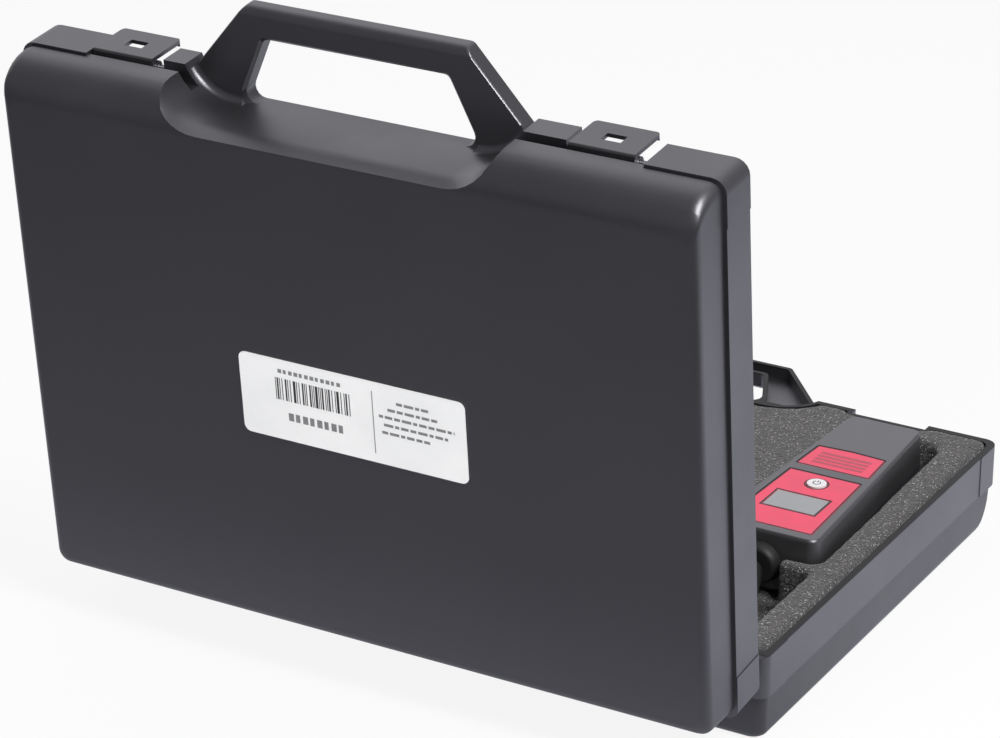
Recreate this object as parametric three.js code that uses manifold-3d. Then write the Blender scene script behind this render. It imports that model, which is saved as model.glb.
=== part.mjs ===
import * as THREE from 'three';
import { mergeVertices } from 'three/addons/utils/BufferGeometryUtils.js';
import Module from 'manifold-3d';

const wasm = await Module();
wasm.setup();

// A belt tension tester that lies in the foam of its open carry case.
// Millimetres, +Z up. The origin is the middle of the base's underside, X runs
// along the case and +Y points from the hinge side to the handle side.

// Case halves
const CASE_LENGTH = 303.3;
const CASE_WIDTH = 226.5;
const BASE_DEPTH = 38.5;
const LID_DEPTH = 38.2;
const WALL = 2;
const BAND_HEIGHT = 18.3;
const BAND_STEP = 1;
const BAND_GROOVE_WIDTH = 1;
const BAND_GROOVE_DEPTH = 0.7;
const WALL_DRAFT = 1.4;
const EDGE_RADIUS = 4;
const HANDLE_EDGE_RADIUS = 15.5;
const HANDLE_CORNER = 6;
const HINGE_CORNER = 5;
const SIDE_PANEL_DEPTH = 0.3;
const SIDE_PANEL_INSET = 19;
const PARTING_GAP = 0.3;
const OVERRUN = 3;

// Hinge
const OPEN_ANGLE = 95.65;
const HINGE_IN = 3.92;
const HINGE_DROP = 8.85;
const HINGE_SPACING = 190;
const LUG_WIDTH = 16;
const LUG_RADIUS = 3.3;
const LUG_OUTER_GAP = 0.5;
const LUG_THICKNESS = 3.6;
const HINGE_PIN_RADIUS = 1.5;
const HINGE_CHEEK = 3;
const HINGE_SIDE_GAP = 0.6;
const HINGE_SWING_GAP = 0.6;
const SWEEP_GAP = 0.25;
const PIN_FIT = 0.1;
const TURNING_FIT = 0.2;

// Handle and the scoop that clears the fingers, both set off the case middle
const HANDLE_OFFSET = -7;
const HANDLE_THICKNESS = 7.5;
const HANDLE_WALL = 2;
const HANDLE_TOP_EDGE = 4.2;
const HANDLE_CHAMFER = 1.2;
const HANDLE_RISE = 26.1;
const HANDLE_TOP_HALF = 47.9;
const HANDLE_FOOT_HALF = 73.7;
const HANDLE_FOOT_DROP = 4.5;
const HANDLE_ROOT_DROP = 16;
const HANDLE_BAR = 12.2;
const GRIP_TOP_HALF = 39.9;
const GRIP_BOTTOM_HALF = 52.3;
const GRIP_TOP_RADIUS = 3;
const GRIP_BOTTOM_RADIUS = 4.5;
const HANDLE_TOP_RADIUS = 3;
const SCOOP_DROP = 13.8;
const SCOOP_HALF = 75;
const SCOOP_RADIUS = 22;
const SCOOP_FLARE = 1.4;
const SCOOP_FLARE_DEPTH = 9;
const FOOT_FILLET = 3;

// Latches, their notches in the lid and their recesses in the base. The places along the
// case are measured in from the case's ends.
const LATCH_WIDTH = 27;
const LATCH_LENGTH = 21.2;
const LATCH_REACH = 6.8;
const LATCH_THICKNESS = 1.6;
const LATCH_PROUD = 0.5;
const LATCH_CORNER = 2.5;
const LATCH_LEFT_IN = 30.75;
const LATCH_RIGHT_IN = 38.45;
const NOTCH_LEFT_IN = 30.25;
const NOTCH_RIGHT_IN = 32.75;
const NOTCH_LEFT_WIDTH = 31.3;
const NOTCH_RIGHT_WIDTH = 34.7;
const NOTCH_DROP = 15;
const CHANNEL_DROP = 8;
const CHANNEL_START = 11.8;
const CHANNEL_END = 16.8;
const LATCH_PIVOT_DROP = 4.5;
const LATCH_PIVOT_IN = 10;
const LATCH_LEG = 3;
const LATCH_BEND = 1;
const LATCH_BARREL_RADIUS = 2.6;
const LATCH_PIN_RADIUS = 1.25;
const LATCH_CHEEK = 2.6;
const SLOT_LENGTH = 8;
const SLOT_WIDTH = 5.4;
const SLOT_FROM_TIP = 11.2;
const SNAP_ANGLE = 6;
const HOOK_WIDTH = 1.6;
const HOOK_HEIGHT = 1.2;
const HOOK_GAP = 0.6;
const CATCH_HEIGHT = 1.5;
const RECESS_GAP = 3.3;
const RECESS_END_GAP = 1.5;
const LIP_INSET = 5;

// Label on the lid
const LABEL_LENGTH = 100;
const LABEL_WIDTH = 35;
const LABEL_THICKNESS = 0.3;
const LABEL_CORNER = 3;
const LABEL_OFFSET = 1.3;
const LABEL_FROM_HINGE = 89;
const LABEL_GAP = 0.2;

// Foam
const FOAM_GAP = 0.4;
const FOAM_PROUD = 1.2;
const LID_FOAM_THICKNESS = 20;
const PROBE_POCKET_NEAR = 18;
const PROBE_POCKET_TO_RIGHT = 25;
const PROBE_POCKET_TO_LEFT = 126;
const POCKET_WEB = 7.3;
const PROBE_POCKET_CORNER = 4;
const POCKET_MARGIN = 1.2;
const POCKET_FAR_MARGIN = 4.5;

// Tester
const TESTER_FROM_END = 41.65;
const TESTER_FROM_FACE = 24;
const TESTER_LENGTH = 121.2;
const TESTER_NEAR_WIDTH = 49;
const TESTER_FAR_WIDTH = 34.5;
const TESTER_HEIGHT = 27;
const TESTER_PROUD = 9.5;
const TESTER_SPLIT = 14;
const TESTER_CORNER = 5.5;
const TESTER_TOP_INSET = 1.8;
const TESTER_TOP_FALL = 1.6;
const TESTER_SIDE_DRAFT = 0.5;
const TESTER_BOTTOM_INSET = 3;
const TESTER_BOTTOM_RISE = 3;
const TESTER_WALL = 2;
const SEAT_GAP = 0.3;
const SEAM = 0.3;

// Red foils, display and button on the tester
const FOIL_THICKNESS = 0.4;
const FOIL_RECESS = 0.5;
const FOIL_GAP = 0.4;
const UPPER_FOIL_LENGTH = 20.3;
const UPPER_FOIL_NEAR_HALF = 17;
const UPPER_FOIL_FAR_HALF = 15.8;
const UPPER_FOIL_BOW = 1;
const LOWER_FOIL_IN = 6.1;
const LOWER_FOIL_LENGTH = 53.5;
const FOIL_SPACING = 5.4;
const LOWER_FOIL_NEAR_HALF = 18.9;
const LOWER_FOIL_FAR_HALF = 16.6;
const FOIL_CORNER = 1;
const LCD_IN = 30.6;
const LCD_LENGTH = 23;
const LCD_WIDTH = 14.6;
const LCD_THICKNESS = 1.2;
const LCD_MODULE_MARGIN = 2;
const BUTTON_IN = 50.4;
const BUTTON_RADIUS = 4.2;
const BUTTON_GAP = 0.4;
const BUTTON_PROUD = 0.5;
const BUTTON_FLANGE = 1;
const BUTTON_FLANGE_THICKNESS = 1;
const BUTTON_TRAVEL = 0.8;
const SWITCH_SIZE = 6;
const SWITCH_BODY = 3.5;
const SWITCH_STEM_RADIUS = 1.6;
const SWITCH_GAP = 0.1;

// Inside of the tester
const BOARD_THICKNESS = 1.6;
const BOARD_TOP_DROP = 9;
const BOARD_GAP = 1;
const BOARD_PAST_BUTTON = 6.3;
const RIB_THICKNESS = 1.5;
const BOARD_RIB_IN = 18.7;
const BATTERY_LENGTH = 44.5;
const BATTERY_RADIUS = 5.25;
const BATTERY_SPACING = 10.8;
const BATTERY_PAST_BOARD = 6.5;
const BATTERY_CAP_RADIUS = 2;
const BATTERY_CAP_HEIGHT = 0.9;
const CONTACT_PLATE = 0.8;
const CONTACT_WIDTH = 20;
const CONTACT_HEIGHT = 9;
const COVER_LENGTH = 57;
const COVER_WIDTH = 25.5;
const COVER_THICKNESS = 1.2;
const COVER_GAP = 0.3;
const COVER_CORNER = 2;
const COVER_LEDGE = 1.2;
const COVER_SCREW_IN = 3.6;
const SCREW_RADIUS = 1.1;
const SCREW_HEAD_RADIUS = 2.1;
const SCREW_HEAD_HEIGHT = 1.4;
const SCREW_HEAD_SINK = 0.4;
const SCREW_FIT = 0.15;
const BOSS_RADIUS = 2.9;
const SCREW_BITE = 6;
const SCREW_FAR_IN = 7;
const SCREW_NEAR_IN = 7;
const SCREW_SIDE_IN = 5.2;

// Probe
const BOOT_RADIUS = 9;
const BOOT_END_RADIUS = 6.4;
const BOOT_LENGTH = 5;
const BOOT_SPIGOT_RADIUS = 6;
const BOOT_SPIGOT_LENGTH = 4;
const BOOT_DROP = 13.5;
const NECK_RADIUS = 5;
const NECK_BALL_GAP = 0.5;
const NECK_REACH_X = 88;
const NECK_FROM_HINGE_SIDE = 29;
const NECK_FALL = 13.5;
const NECK_STEPS = 34;
const NECK_SIDES = 12;
const HEAD_RADIUS = 6.5;
const HEAD_LENGTH = 34;
const HEAD_NOSE = 2;
const HEAD_SOCKET = 6;
const LENS_RADIUS = 4.2;
const LENS_SET_IN = 0.6;
const LENS_THICKNESS = 1.5;
const LENS_BORE_DEPTH = 2.5;

// Smoothness of round forms
const ARC_STEPS = 5;
const WIDE_ARC_STEPS = 10;
const ROUND_SIDES = 24;
const SMALL_SIDES = 16;

// Route of the neck from the boot, as shares of its reach along x, along y and down
const NECK_ROUTE_SHARES = [
  [0, 0, 0],
  [0.03, -0.17, -0.12],
  [0.055, -0.4, -0.45],
  [0.04, -0.67, -0.75],
  [-0.055, -0.9, -0.92],
  [-0.2, -1, -1],
  [-0.51, -1, -1],
  [-1, -1, -1],
];

const RIM_Z = BASE_DEPTH;
const HALF_LENGTH = CASE_LENGTH / 2;
const TESTER_X = HALF_LENGTH - TESTER_FROM_END;
const TESTER_FAR = CASE_WIDTH - TESTER_FROM_FACE;
const TESTER_NEAR = TESTER_FAR - TESTER_LENGTH;
const LOWER_FOIL_NEAR = TESTER_NEAR + LOWER_FOIL_IN;
const LOWER_FOIL_FAR = LOWER_FOIL_NEAR + LOWER_FOIL_LENGTH;
const UPPER_FOIL_NEAR = LOWER_FOIL_FAR + FOIL_SPACING;
const UPPER_FOIL_FAR = UPPER_FOIL_NEAR + UPPER_FOIL_LENGTH;
const LCD_Y = TESTER_NEAR + LCD_IN;
const BUTTON_Y = TESTER_NEAR + BUTTON_IN;
const BOARD_FAR = BUTTON_Y + BOARD_PAST_BUTTON;
const BOARD_RIB_Y = TESTER_NEAR + BOARD_RIB_IN;
const BATTERY_NEAR = BOARD_FAR + BATTERY_PAST_BOARD;
const TESTER_Z = RIM_Z + TESTER_PROUD - TESTER_HEIGHT;
const BOOT_Z = TESTER_HEIGHT - BOOT_DROP;
const NECK_LOW_Z = TESTER_Z + BOOT_Z - NECK_FALL;

// From shapes to solids

function solidOf(geometry) {
  const bare = geometry.index ? geometry.toNonIndexed() : geometry.clone();
  for (const name of Object.keys(bare.attributes)) {
    if (name !== 'position') bare.deleteAttribute(name);
  }
  const merged = mergeVertices(bare);
  return new wasm.Manifold(new wasm.Mesh({
    numProp: 3,
    vertProperties: merged.attributes.position.array,
    triVerts: Uint32Array.from(merged.index.array),
  }));
}

function geometryOf(solid) {
  const mesh = solid.getMesh();
  const geometry = new THREE.BufferGeometry();
  const places = new Float32Array(mesh.numVert * 3);
  for (let i = 0; i < mesh.numVert; i += 1) {
    for (let k = 0; k < 3; k += 1) places[3 * i + k] = mesh.vertProperties[mesh.numProp * i + k];
  }
  geometry.setAttribute('position', new THREE.BufferAttribute(places, 3));
  geometry.setIndex(new THREE.BufferAttribute(Uint32Array.from(mesh.triVerts), 1));
  geometry.computeVertexNormals();
  return geometry;
}

// A polygon whose corners [a, b, radius] are rounded with arcs
function rounded(corners, steps = ARC_STEPS) {
  const count = corners.length;
  const points = [];
  corners.forEach(([a, b, radius], i) => {
    const here = new THREE.Vector2(a, b);
    if (!radius) {
      points.push(here);
      return;
    }
    const before = corners[(i + count - 1) % count];
    const after = corners[(i + 1) % count];
    const back = new THREE.Vector2(before[0], before[1]).sub(here).normalize();
    const ahead = new THREE.Vector2(after[0], after[1]).sub(here).normalize();
    const half = Math.acos(THREE.MathUtils.clamp(back.dot(ahead), -1, 1)) / 2;
    const middle = back.clone().add(ahead).normalize()
      .multiplyScalar(radius / Math.sin(half)).add(here);
    const start = back.clone().multiplyScalar(radius / Math.tan(half)).add(here).sub(middle);
    const end = ahead.clone().multiplyScalar(radius / Math.tan(half)).add(here).sub(middle);
    const first = start.angle();
    let turn = end.angle() - first;
    if (turn > Math.PI) turn -= 2 * Math.PI;
    if (turn < -Math.PI) turn += 2 * Math.PI;
    for (let k = 0; k <= steps; k += 1) {
      const angle = first + (turn * k) / steps;
      points.push(new THREE.Vector2(
        middle.x + radius * Math.cos(angle),
        middle.y + radius * Math.sin(angle),
      ));
    }
  });
  return points;
}

function extrusion(points, low, high) {
  const geometry = new THREE.ExtrudeGeometry(new THREE.Shape(points), {
    depth: high - low,
    bevelEnabled: false,
    curveSegments: 1,
  });
  return geometry.translate(0, 0, low);
}

// Outline in x and y, extruded along z
function prism(points, low, high) {
  return solidOf(extrusion(points, low, high));
}

// Outline in y and z, extruded along x
function alongX(points, low, high) {
  const turn = new THREE.Matrix4().makeBasis(
    new THREE.Vector3(0, 1, 0),
    new THREE.Vector3(0, 0, 1),
    new THREE.Vector3(1, 0, 0),
  );
  return solidOf(extrusion(points, low, high).applyMatrix4(turn));
}

// Outline in x and z, extruded along y
function alongY(points, low, high) {
  const turn = new THREE.Matrix4().makeBasis(
    new THREE.Vector3(1, 0, 0),
    new THREE.Vector3(0, 0, 1),
    new THREE.Vector3(0, -1, 0),
  );
  return solidOf(extrusion(points, -high, -low).applyMatrix4(turn));
}

function box(x0, x1, y0, y1, z0, z1) {
  const geometry = new THREE.BoxGeometry(Math.abs(x1 - x0), Math.abs(y1 - y0), Math.abs(z1 - z0));
  return solidOf(geometry.translate((x0 + x1) / 2, (y0 + y1) / 2, (z0 + z1) / 2));
}

function rodX(radius, x0, x1, y, z, sides = SMALL_SIDES) {
  const geometry = new THREE.CylinderGeometry(radius, radius, Math.abs(x1 - x0), sides);
  return solidOf(geometry.rotateZ(Math.PI / 2).translate((x0 + x1) / 2, y, z));
}

function rodZ(radius, x, y, z0, z1, sides = SMALL_SIDES) {
  const geometry = new THREE.CylinderGeometry(radius, radius, Math.abs(z1 - z0), sides);
  return solidOf(geometry.rotateX(Math.PI / 2).translate(x, y, (z0 + z1) / 2));
}

// A turned piece from a profile [radius, height] that starts and ends on the axis
function turned(profile, sides) {
  return new THREE.LatheGeometry(profile.map(([r, h]) => new THREE.Vector2(r, h)), sides);
}

// A skin over outlines of equal point count, stacked along z and closed at both ends
function loft(sections) {
  const count = sections[0].points.length;
  const places = [];
  const faces = [];
  for (const { points, z } of sections) {
    for (const point of points) places.push(point.x, point.y, z);
  }
  const outwards = THREE.ShapeUtils.area(sections[0].points) > 0;
  const face = (a, b, c) => faces.push(...(outwards ? [a, b, c] : [a, c, b]));
  for (let s = 0; s + 1 < sections.length; s += 1) {
    for (let i = 0; i < count; i += 1) {
      const a = s * count + i;
      const b = s * count + ((i + 1) % count);
      face(a, b, b + count);
      face(a, b + count, a + count);
    }
  }
  const ends = [0, sections.length - 1];
  for (const s of ends) {
    for (const [i, j, k] of THREE.ShapeUtils.triangulateShape(sections[s].points, [])) {
      const [a, b, c] = [i, j, k].map((n) => n + s * count);
      // triangulateShape keeps the winding of the outline, so only the low end is turned over
      if (s === 0) faces.push(...(outwards ? [a, c, b] : [a, b, c]));
      else faces.push(...(outwards ? [a, b, c] : [a, c, b]));
    }
  }
  const geometry = new THREE.BufferGeometry();
  geometry.setAttribute('position', new THREE.BufferAttribute(new Float32Array(places), 3));
  geometry.setIndex(faces);
  return solidOf(geometry);
}

// Case halves. Each half is drawn from its parting plane: x along the case, y from the hinge
// side's outer face, and side * z towards its outer panel. side is 1 for the lid
// and -1 for the base.

const LATCH_SPOTS = [
  {
    name: 'left',
    middle: -HALF_LENGTH + LATCH_LEFT_IN + LATCH_WIDTH / 2,
    from: -HALF_LENGTH + NOTCH_LEFT_IN,
    to: -HALF_LENGTH + NOTCH_LEFT_IN + NOTCH_LEFT_WIDTH,
  },
  {
    name: 'right',
    middle: HALF_LENGTH - LATCH_RIGHT_IN - LATCH_WIDTH / 2,
    from: HALF_LENGTH - NOTCH_RIGHT_IN - NOTCH_RIGHT_WIDTH,
    to: HALF_LENGTH - NOTCH_RIGHT_IN,
  },
];
const MIDDLE_FROM = LATCH_SPOTS[0].from;
const MIDDLE_TO = LATCH_SPOTS[1].to;
const HINGE_SPOTS = [-HINGE_SPACING / 2, HINGE_SPACING / 2];
const SCOOP_FLOOR = CASE_WIDTH - SCOOP_DROP;
const LATCH_INSIDE = CASE_WIDTH + LATCH_PROUD - LATCH_THICKNESS;
const RECESS_FACE = LATCH_INSIDE - RECESS_GAP;
const PIVOT_Y = CASE_WIDTH - LATCH_PIVOT_DROP;

// How far a rounded edge has fallen back at a given distance below the face that it ends on
function edgeFall(radius, down) {
  return down < radius ? radius - Math.sqrt(radius ** 2 - (radius - down) ** 2) : 0;
}

// The body, stacked from outlines that close in with the draft and round off to the outer panel
function bodyForm(depth, side, inset) {
  const step = BAND_STEP + inset;
  const deep = depth - inset;
  const edge = Math.max(EDGE_RADIUS - inset, WALL);
  const handleEdge = HANDLE_EDGE_RADIUS - inset;
  const start = inset ? -OVERRUN : 0;
  const downs = [deep - start];
  for (let k = 0; k <= ARC_STEPS; k += 1) {
    const share = 1 - Math.sin((k / ARC_STEPS) * (Math.PI / 2));
    if (edge + (handleEdge - edge) * share > edge) downs.push(edge + (handleEdge - edge) * share);
    downs.push(edge * share);
  }
  const sections = downs.map((down) => {
    const draft = WALL_DRAFT * (1 - down / (deep - start)) + edgeFall(edge, down);
    const points = planOutline(step, draft, edgeFall(handleEdge, down));
    return { points, z: side * (deep - down) };
  });
  return loft(sections.sort((a, b) => a.z - b.z));
}

function planOutline(inset, draft = 0, handleFall = 0) {
  const handle = Math.max(HANDLE_CORNER - inset, HINGE_CORNER);
  const end = HALF_LENGTH - inset - draft;
  return rounded([
    [-end, inset + draft, HINGE_CORNER],
    [end, inset + draft, HINGE_CORNER],
    [end, CASE_WIDTH - inset - handleFall, handle],
    [-end, CASE_WIDTH - inset - handleFall, handle],
  ]);
}

function span(side, from, to) {
  return side > 0 ? [from, to] : [-to, -from];
}

function scoopOutline(grow) {
  const top = SCOOP_FLOOR + SCOOP_RADIUS + OVERRUN;
  return rounded([
    [HANDLE_OFFSET - SCOOP_HALF - grow, top, 0],
    [HANDLE_OFFSET - SCOOP_HALF - grow, SCOOP_FLOOR - grow, SCOOP_RADIUS + grow],
    [HANDLE_OFFSET + SCOOP_HALF + grow, SCOOP_FLOOR - grow, SCOOP_RADIUS + grow],
    [HANDLE_OFFSET + SCOOP_HALF + grow, top, 0],
  ], WIDE_ARC_STEPS);
}

function handleOutline(inset) {
  const slope = (HANDLE_FOOT_HALF - HANDLE_TOP_HALF) / (HANDLE_RISE + HANDLE_FOOT_DROP);
  const lean = Math.sqrt(1 + slope * slope);
  const top = CASE_WIDTH + HANDLE_RISE - inset;
  const shoulder = CASE_WIDTH - HANDLE_FOOT_DROP;
  const root = inset ? SCOOP_FLOOR + inset : CASE_WIDTH - HANDLE_ROOT_DROP;
  const topHalf = HANDLE_TOP_HALF - inset * (lean - slope);
  const footHalf = HANDLE_FOOT_HALF - inset * lean;
  return rounded([
    [HANDLE_OFFSET - footHalf, root, 0],
    [HANDLE_OFFSET + footHalf, root, 0],
    [HANDLE_OFFSET + footHalf, shoulder, 0],
    [HANDLE_OFFSET + topHalf, top, HANDLE_TOP_RADIUS],
    [HANDLE_OFFSET - topHalf, top, HANDLE_TOP_RADIUS],
    [HANDLE_OFFSET - footHalf, shoulder, 0],
  ]);
}

function gripOutline(grow) {
  const low = SCOOP_FLOOR;
  const high = CASE_WIDTH + HANDLE_RISE - HANDLE_BAR;
  const slope = (GRIP_BOTTOM_HALF - GRIP_TOP_HALF) / (high - low);
  const lean = Math.sqrt(1 + slope * slope);
  return rounded([
    [HANDLE_OFFSET - GRIP_BOTTOM_HALF - grow * (lean + slope), low - grow, GRIP_BOTTOM_RADIUS],
    [HANDLE_OFFSET + GRIP_BOTTOM_HALF + grow * (lean + slope), low - grow, GRIP_BOTTOM_RADIUS],
    [HANDLE_OFFSET + GRIP_TOP_HALF + grow * (lean - slope), high + grow, GRIP_TOP_RADIUS],
    [HANDLE_OFFSET - GRIP_TOP_HALF - grow * (lean - slope), high + grow, GRIP_TOP_RADIUS],
  ]);
}

// Half of the carry handle: a channel that is open towards the parting plane
function halfHandle(side) {
  const rim = HANDLE_THICKNESS - HANDLE_CHAMFER;
  const ordered = (list) => list.sort((a, b) => a.z - b.z);
  const sections = [{ points: edgedHandle(HANDLE_TOP_EDGE), z: 0 }];
  for (let k = 0; k <= ARC_STEPS; k += 1) {
    const down = HANDLE_TOP_EDGE * (1 - Math.sin((k / ARC_STEPS) * (Math.PI / 2)));
    sections.push({ points: edgedHandle(down), z: side * (HANDLE_THICKNESS - down) });
  }
  const outer = loft(ordered(sections));
  const grip = loft(ordered([
    { points: gripOutline(0), z: -side * OVERRUN },
    { points: gripOutline(0), z: side * rim },
    { points: gripOutline(HANDLE_CHAMFER), z: side * HANDLE_THICKNESS },
    { points: gripOutline(HANDLE_CHAMFER), z: side * (HANDLE_THICKNESS + OVERRUN) },
  ]));
  const pocketSpan = span(side, -OVERRUN, HANDLE_THICKNESS - HANDLE_WALL);
  const pocket = prism(handleOutline(HANDLE_WALL), ...pocketSpan)
    .subtract(prism(gripOutline(HANDLE_WALL), ...span(side, -2 * OVERRUN, HANDLE_THICKNESS)));
  return outer.subtract(grip).subtract(pocket);
}

// The handle's outline at a distance below its outer face, where its top edge is rounded far
// and its legs a little
function edgedHandle(down) {
  const leg = edgeFall(HANDLE_CHAMFER, down);
  const root = CASE_WIDTH - HANDLE_ROOT_DROP;
  const shoulder = CASE_WIDTH - HANDLE_FOOT_DROP;
  const top = CASE_WIDTH + HANDLE_RISE - edgeFall(HANDLE_TOP_EDGE, down);
  const slope = (HANDLE_FOOT_HALF - HANDLE_TOP_HALF) / (HANDLE_RISE + HANDLE_FOOT_DROP);
  const topHalf = HANDLE_TOP_HALF - leg + slope * (CASE_WIDTH + HANDLE_RISE - top);
  return rounded([
    [HANDLE_OFFSET - HANDLE_FOOT_HALF + leg, root, 0],
    [HANDLE_OFFSET + HANDLE_FOOT_HALF - leg, root, 0],
    [HANDLE_OFFSET + HANDLE_FOOT_HALF - leg, shoulder, 0],
    [HANDLE_OFFSET + topHalf, top, HANDLE_TOP_RADIUS],
    [HANDLE_OFFSET - topHalf, top, HANDLE_TOP_RADIUS],
    [HANDLE_OFFSET - HANDLE_FOOT_HALF + leg, shoulder, 0],
  ]);
}

// The hollow for the fingers, whose mouth flares towards the outer panel
function scoopCut(depth, side) {
  const mouth = [
    { points: scoopOutline(0), z: side * (depth - SCOOP_FLARE_DEPTH) },
    { points: scoopOutline(SCOOP_FLARE / 4), z: side * (depth - SCOOP_FLARE_DEPTH / 2) },
    { points: scoopOutline(SCOOP_FLARE), z: side * depth },
    { points: scoopOutline(SCOOP_FLARE), z: side * (depth + OVERRUN) },
  ].sort((a, b) => a.z - b.z);
  return prism(scoopOutline(0), ...span(side, -OVERRUN, depth)).add(loft(mouth));
}

// Rounded inner corner between the handle's foot and the floor of the scoop
function footFillet(side) {
  const steps = [];
  for (let k = 0; k <= ARC_STEPS; k += 1) {
    const angle = (k / ARC_STEPS) * (Math.PI / 2);
    steps.push({
      points: scoopOutline(-FOOT_FILLET * (1 - Math.sin(angle))),
      z: side * (HANDLE_THICKNESS + FOOT_FILLET * (1 - Math.cos(angle))),
    });
  }
  const first = { points: steps[0].points, z: side * (HANDLE_THICKNESS - 2 * OVERRUN) };
  const hollow = loft([first, ...steps].sort((a, b) => a.z - b.z));
  const foot = prism(handleOutline(0), ...span(side, HANDLE_THICKNESS - HANDLE_WALL,
    HANDLE_THICKNESS + FOOT_FILLET));
  return foot.intersect(prism(scoopOutline(WALL / 2), ...span(side, 0, HANDLE_THICKNESS + FOOT_FILLET)))
    .subtract(hollow)
    .subtract(prism(gripOutline(HANDLE_CHAMFER), ...span(side, 0, HANDLE_THICKNESS + 2 * FOOT_FILLET)));
}

// What both halves share: band, body, cavity, scoop and handle. Where the bare box is given,
// the body stands there without its band.
function halfShell(depth, side, sunk, sunkGrown, bare) {
  const body = bodyForm(depth, side, 0);
  let band = prism(planOutline(0), ...span(side, 0, BAND_HEIGHT));
  let groove = prism(planOutline(-OVERRUN), ...span(side, BAND_HEIGHT, BAND_HEIGHT + BAND_GROOVE_WIDTH))
    .subtract(prism(planOutline(BAND_STEP + BAND_GROOVE_DEPTH), ...span(side, 0, depth)));
  const lines = [-1, 1].map((end) => box(
    end * (HALF_LENGTH - SIDE_PANEL_DEPTH),
    end * (HALF_LENGTH + OVERRUN),
    SIDE_PANEL_INSET,
    CASE_WIDTH - SIDE_PANEL_INSET,
    -side * OVERRUN,
    side * (BAND_HEIGHT + OVERRUN),
  ));
  for (const line of lines) band = band.subtract(line);
  if (bare) {
    band = band.subtract(bare);
    groove = groove.subtract(bare);
  }
  let outer = body.add(band).subtract(groove).subtract(scoopCut(depth, side));
  let cavity = bodyForm(depth, side, WALL)
    .subtract(prism(scoopOutline(WALL), ...span(side, -2 * OVERRUN, depth)))
    .subtract(prism(scoopOutline(WALL + SCOOP_FLARE), ...span(side, depth - SCOOP_FLARE_DEPTH, depth)));
  for (const cut of sunk) outer = outer.subtract(cut);
  for (const kept of sunkGrown) cavity = cavity.subtract(kept);
  return { outer, cavity };
}

function baseShell() {
  const side = -1;
  const sunk = [];
  const kept = [];
  const recessEnd = LATCH_REACH + RECESS_END_GAP;
  for (const { from, to } of LATCH_SPOTS) {
    sunk.push(box(from, to, RECESS_FACE, CASE_WIDTH + OVERRUN, OVERRUN, -recessEnd));
    kept.push(box(from - WALL, to + WALL, RECESS_FACE - WALL, CASE_WIDTH, OVERRUN * 2, -recessEnd - WALL));
  }
  const pocketIn = HINGE_IN + LUG_RADIUS + HINGE_SWING_GAP;
  const pocketDown = HINGE_DROP + LUG_RADIUS + HINGE_SWING_GAP;
  const pocketHalf = LUG_WIDTH / 2 + HINGE_SIDE_GAP;
  for (const x of HINGE_SPOTS) {
    sunk.push(box(x - pocketHalf, x + pocketHalf, -OVERRUN, pocketIn, OVERRUN, -pocketDown));
    kept.push(box(x - pocketHalf - HINGE_CHEEK, x + pocketHalf + HINGE_CHEEK, 0,
      pocketIn + WALL, OVERRUN * 2, -pocketDown - WALL));
    const bore = rodX(HINGE_PIN_RADIUS + PIN_FIT, x - pocketHalf - HINGE_CHEEK - OVERRUN,
      x + pocketHalf + HINGE_CHEEK + OVERRUN, HINGE_IN, -HINGE_DROP);
    sunk.push(bore);
  }
  const { outer, cavity } = halfShell(BASE_DEPTH, side, sunk, kept);
  let shell = outer.add(halfHandle(side)).add(footFillet(side)).subtract(cavity);
  // the rim by the hinge is rounded about the hinge axis, so the lid's edge swings past it
  const reach = HINGE_DROP + PARTING_GAP - SWEEP_GAP;
  const corner = box(-HALF_LENGTH - OVERRUN, HALF_LENGTH + OVERRUN, -OVERRUN, HINGE_IN,
    OVERRUN, -HINGE_DROP / 2);
  const round = rodX(reach, -HALF_LENGTH - 2 * OVERRUN, HALF_LENGTH + 2 * OVERRUN, HINGE_IN,
    -HINGE_DROP, 2 * ROUND_SIDES);
  shell = shell.subtract(corner.subtract(round));
  // the ridge that the latch's hook lies under once the latch is pressed home
  const snap = THREE.MathUtils.degToRad(SNAP_ANGLE);
  const hookIn = LATCH_REACH - HOOK_WIDTH + LATCH_PIVOT_IN;
  const ridgeLow = LATCH_PIVOT_IN + PARTING_GAP - hookIn * Math.cos(snap) + HOOK_GAP;
  const ridgeTop = LATCH_INSIDE - HOOK_HEIGHT - HOOK_GAP;
  const ridge = [
    [RECESS_FACE - WALL / 2, ridgeLow + 2 * CATCH_HEIGHT],
    [ridgeTop, ridgeLow + CATCH_HEIGHT / 2],
    [ridgeTop, ridgeLow],
    [RECESS_FACE - WALL / 2, ridgeLow],
  ].map(([y, z]) => new THREE.Vector2(y, z));
  for (const { middle } of LATCH_SPOTS) {
    shell = shell.add(alongX(ridge, middle - LATCH_WIDTH / 2 + LIP_INSET, middle + LATCH_WIDTH / 2 - LIP_INSET));
  }
  return shell;
}

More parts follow.
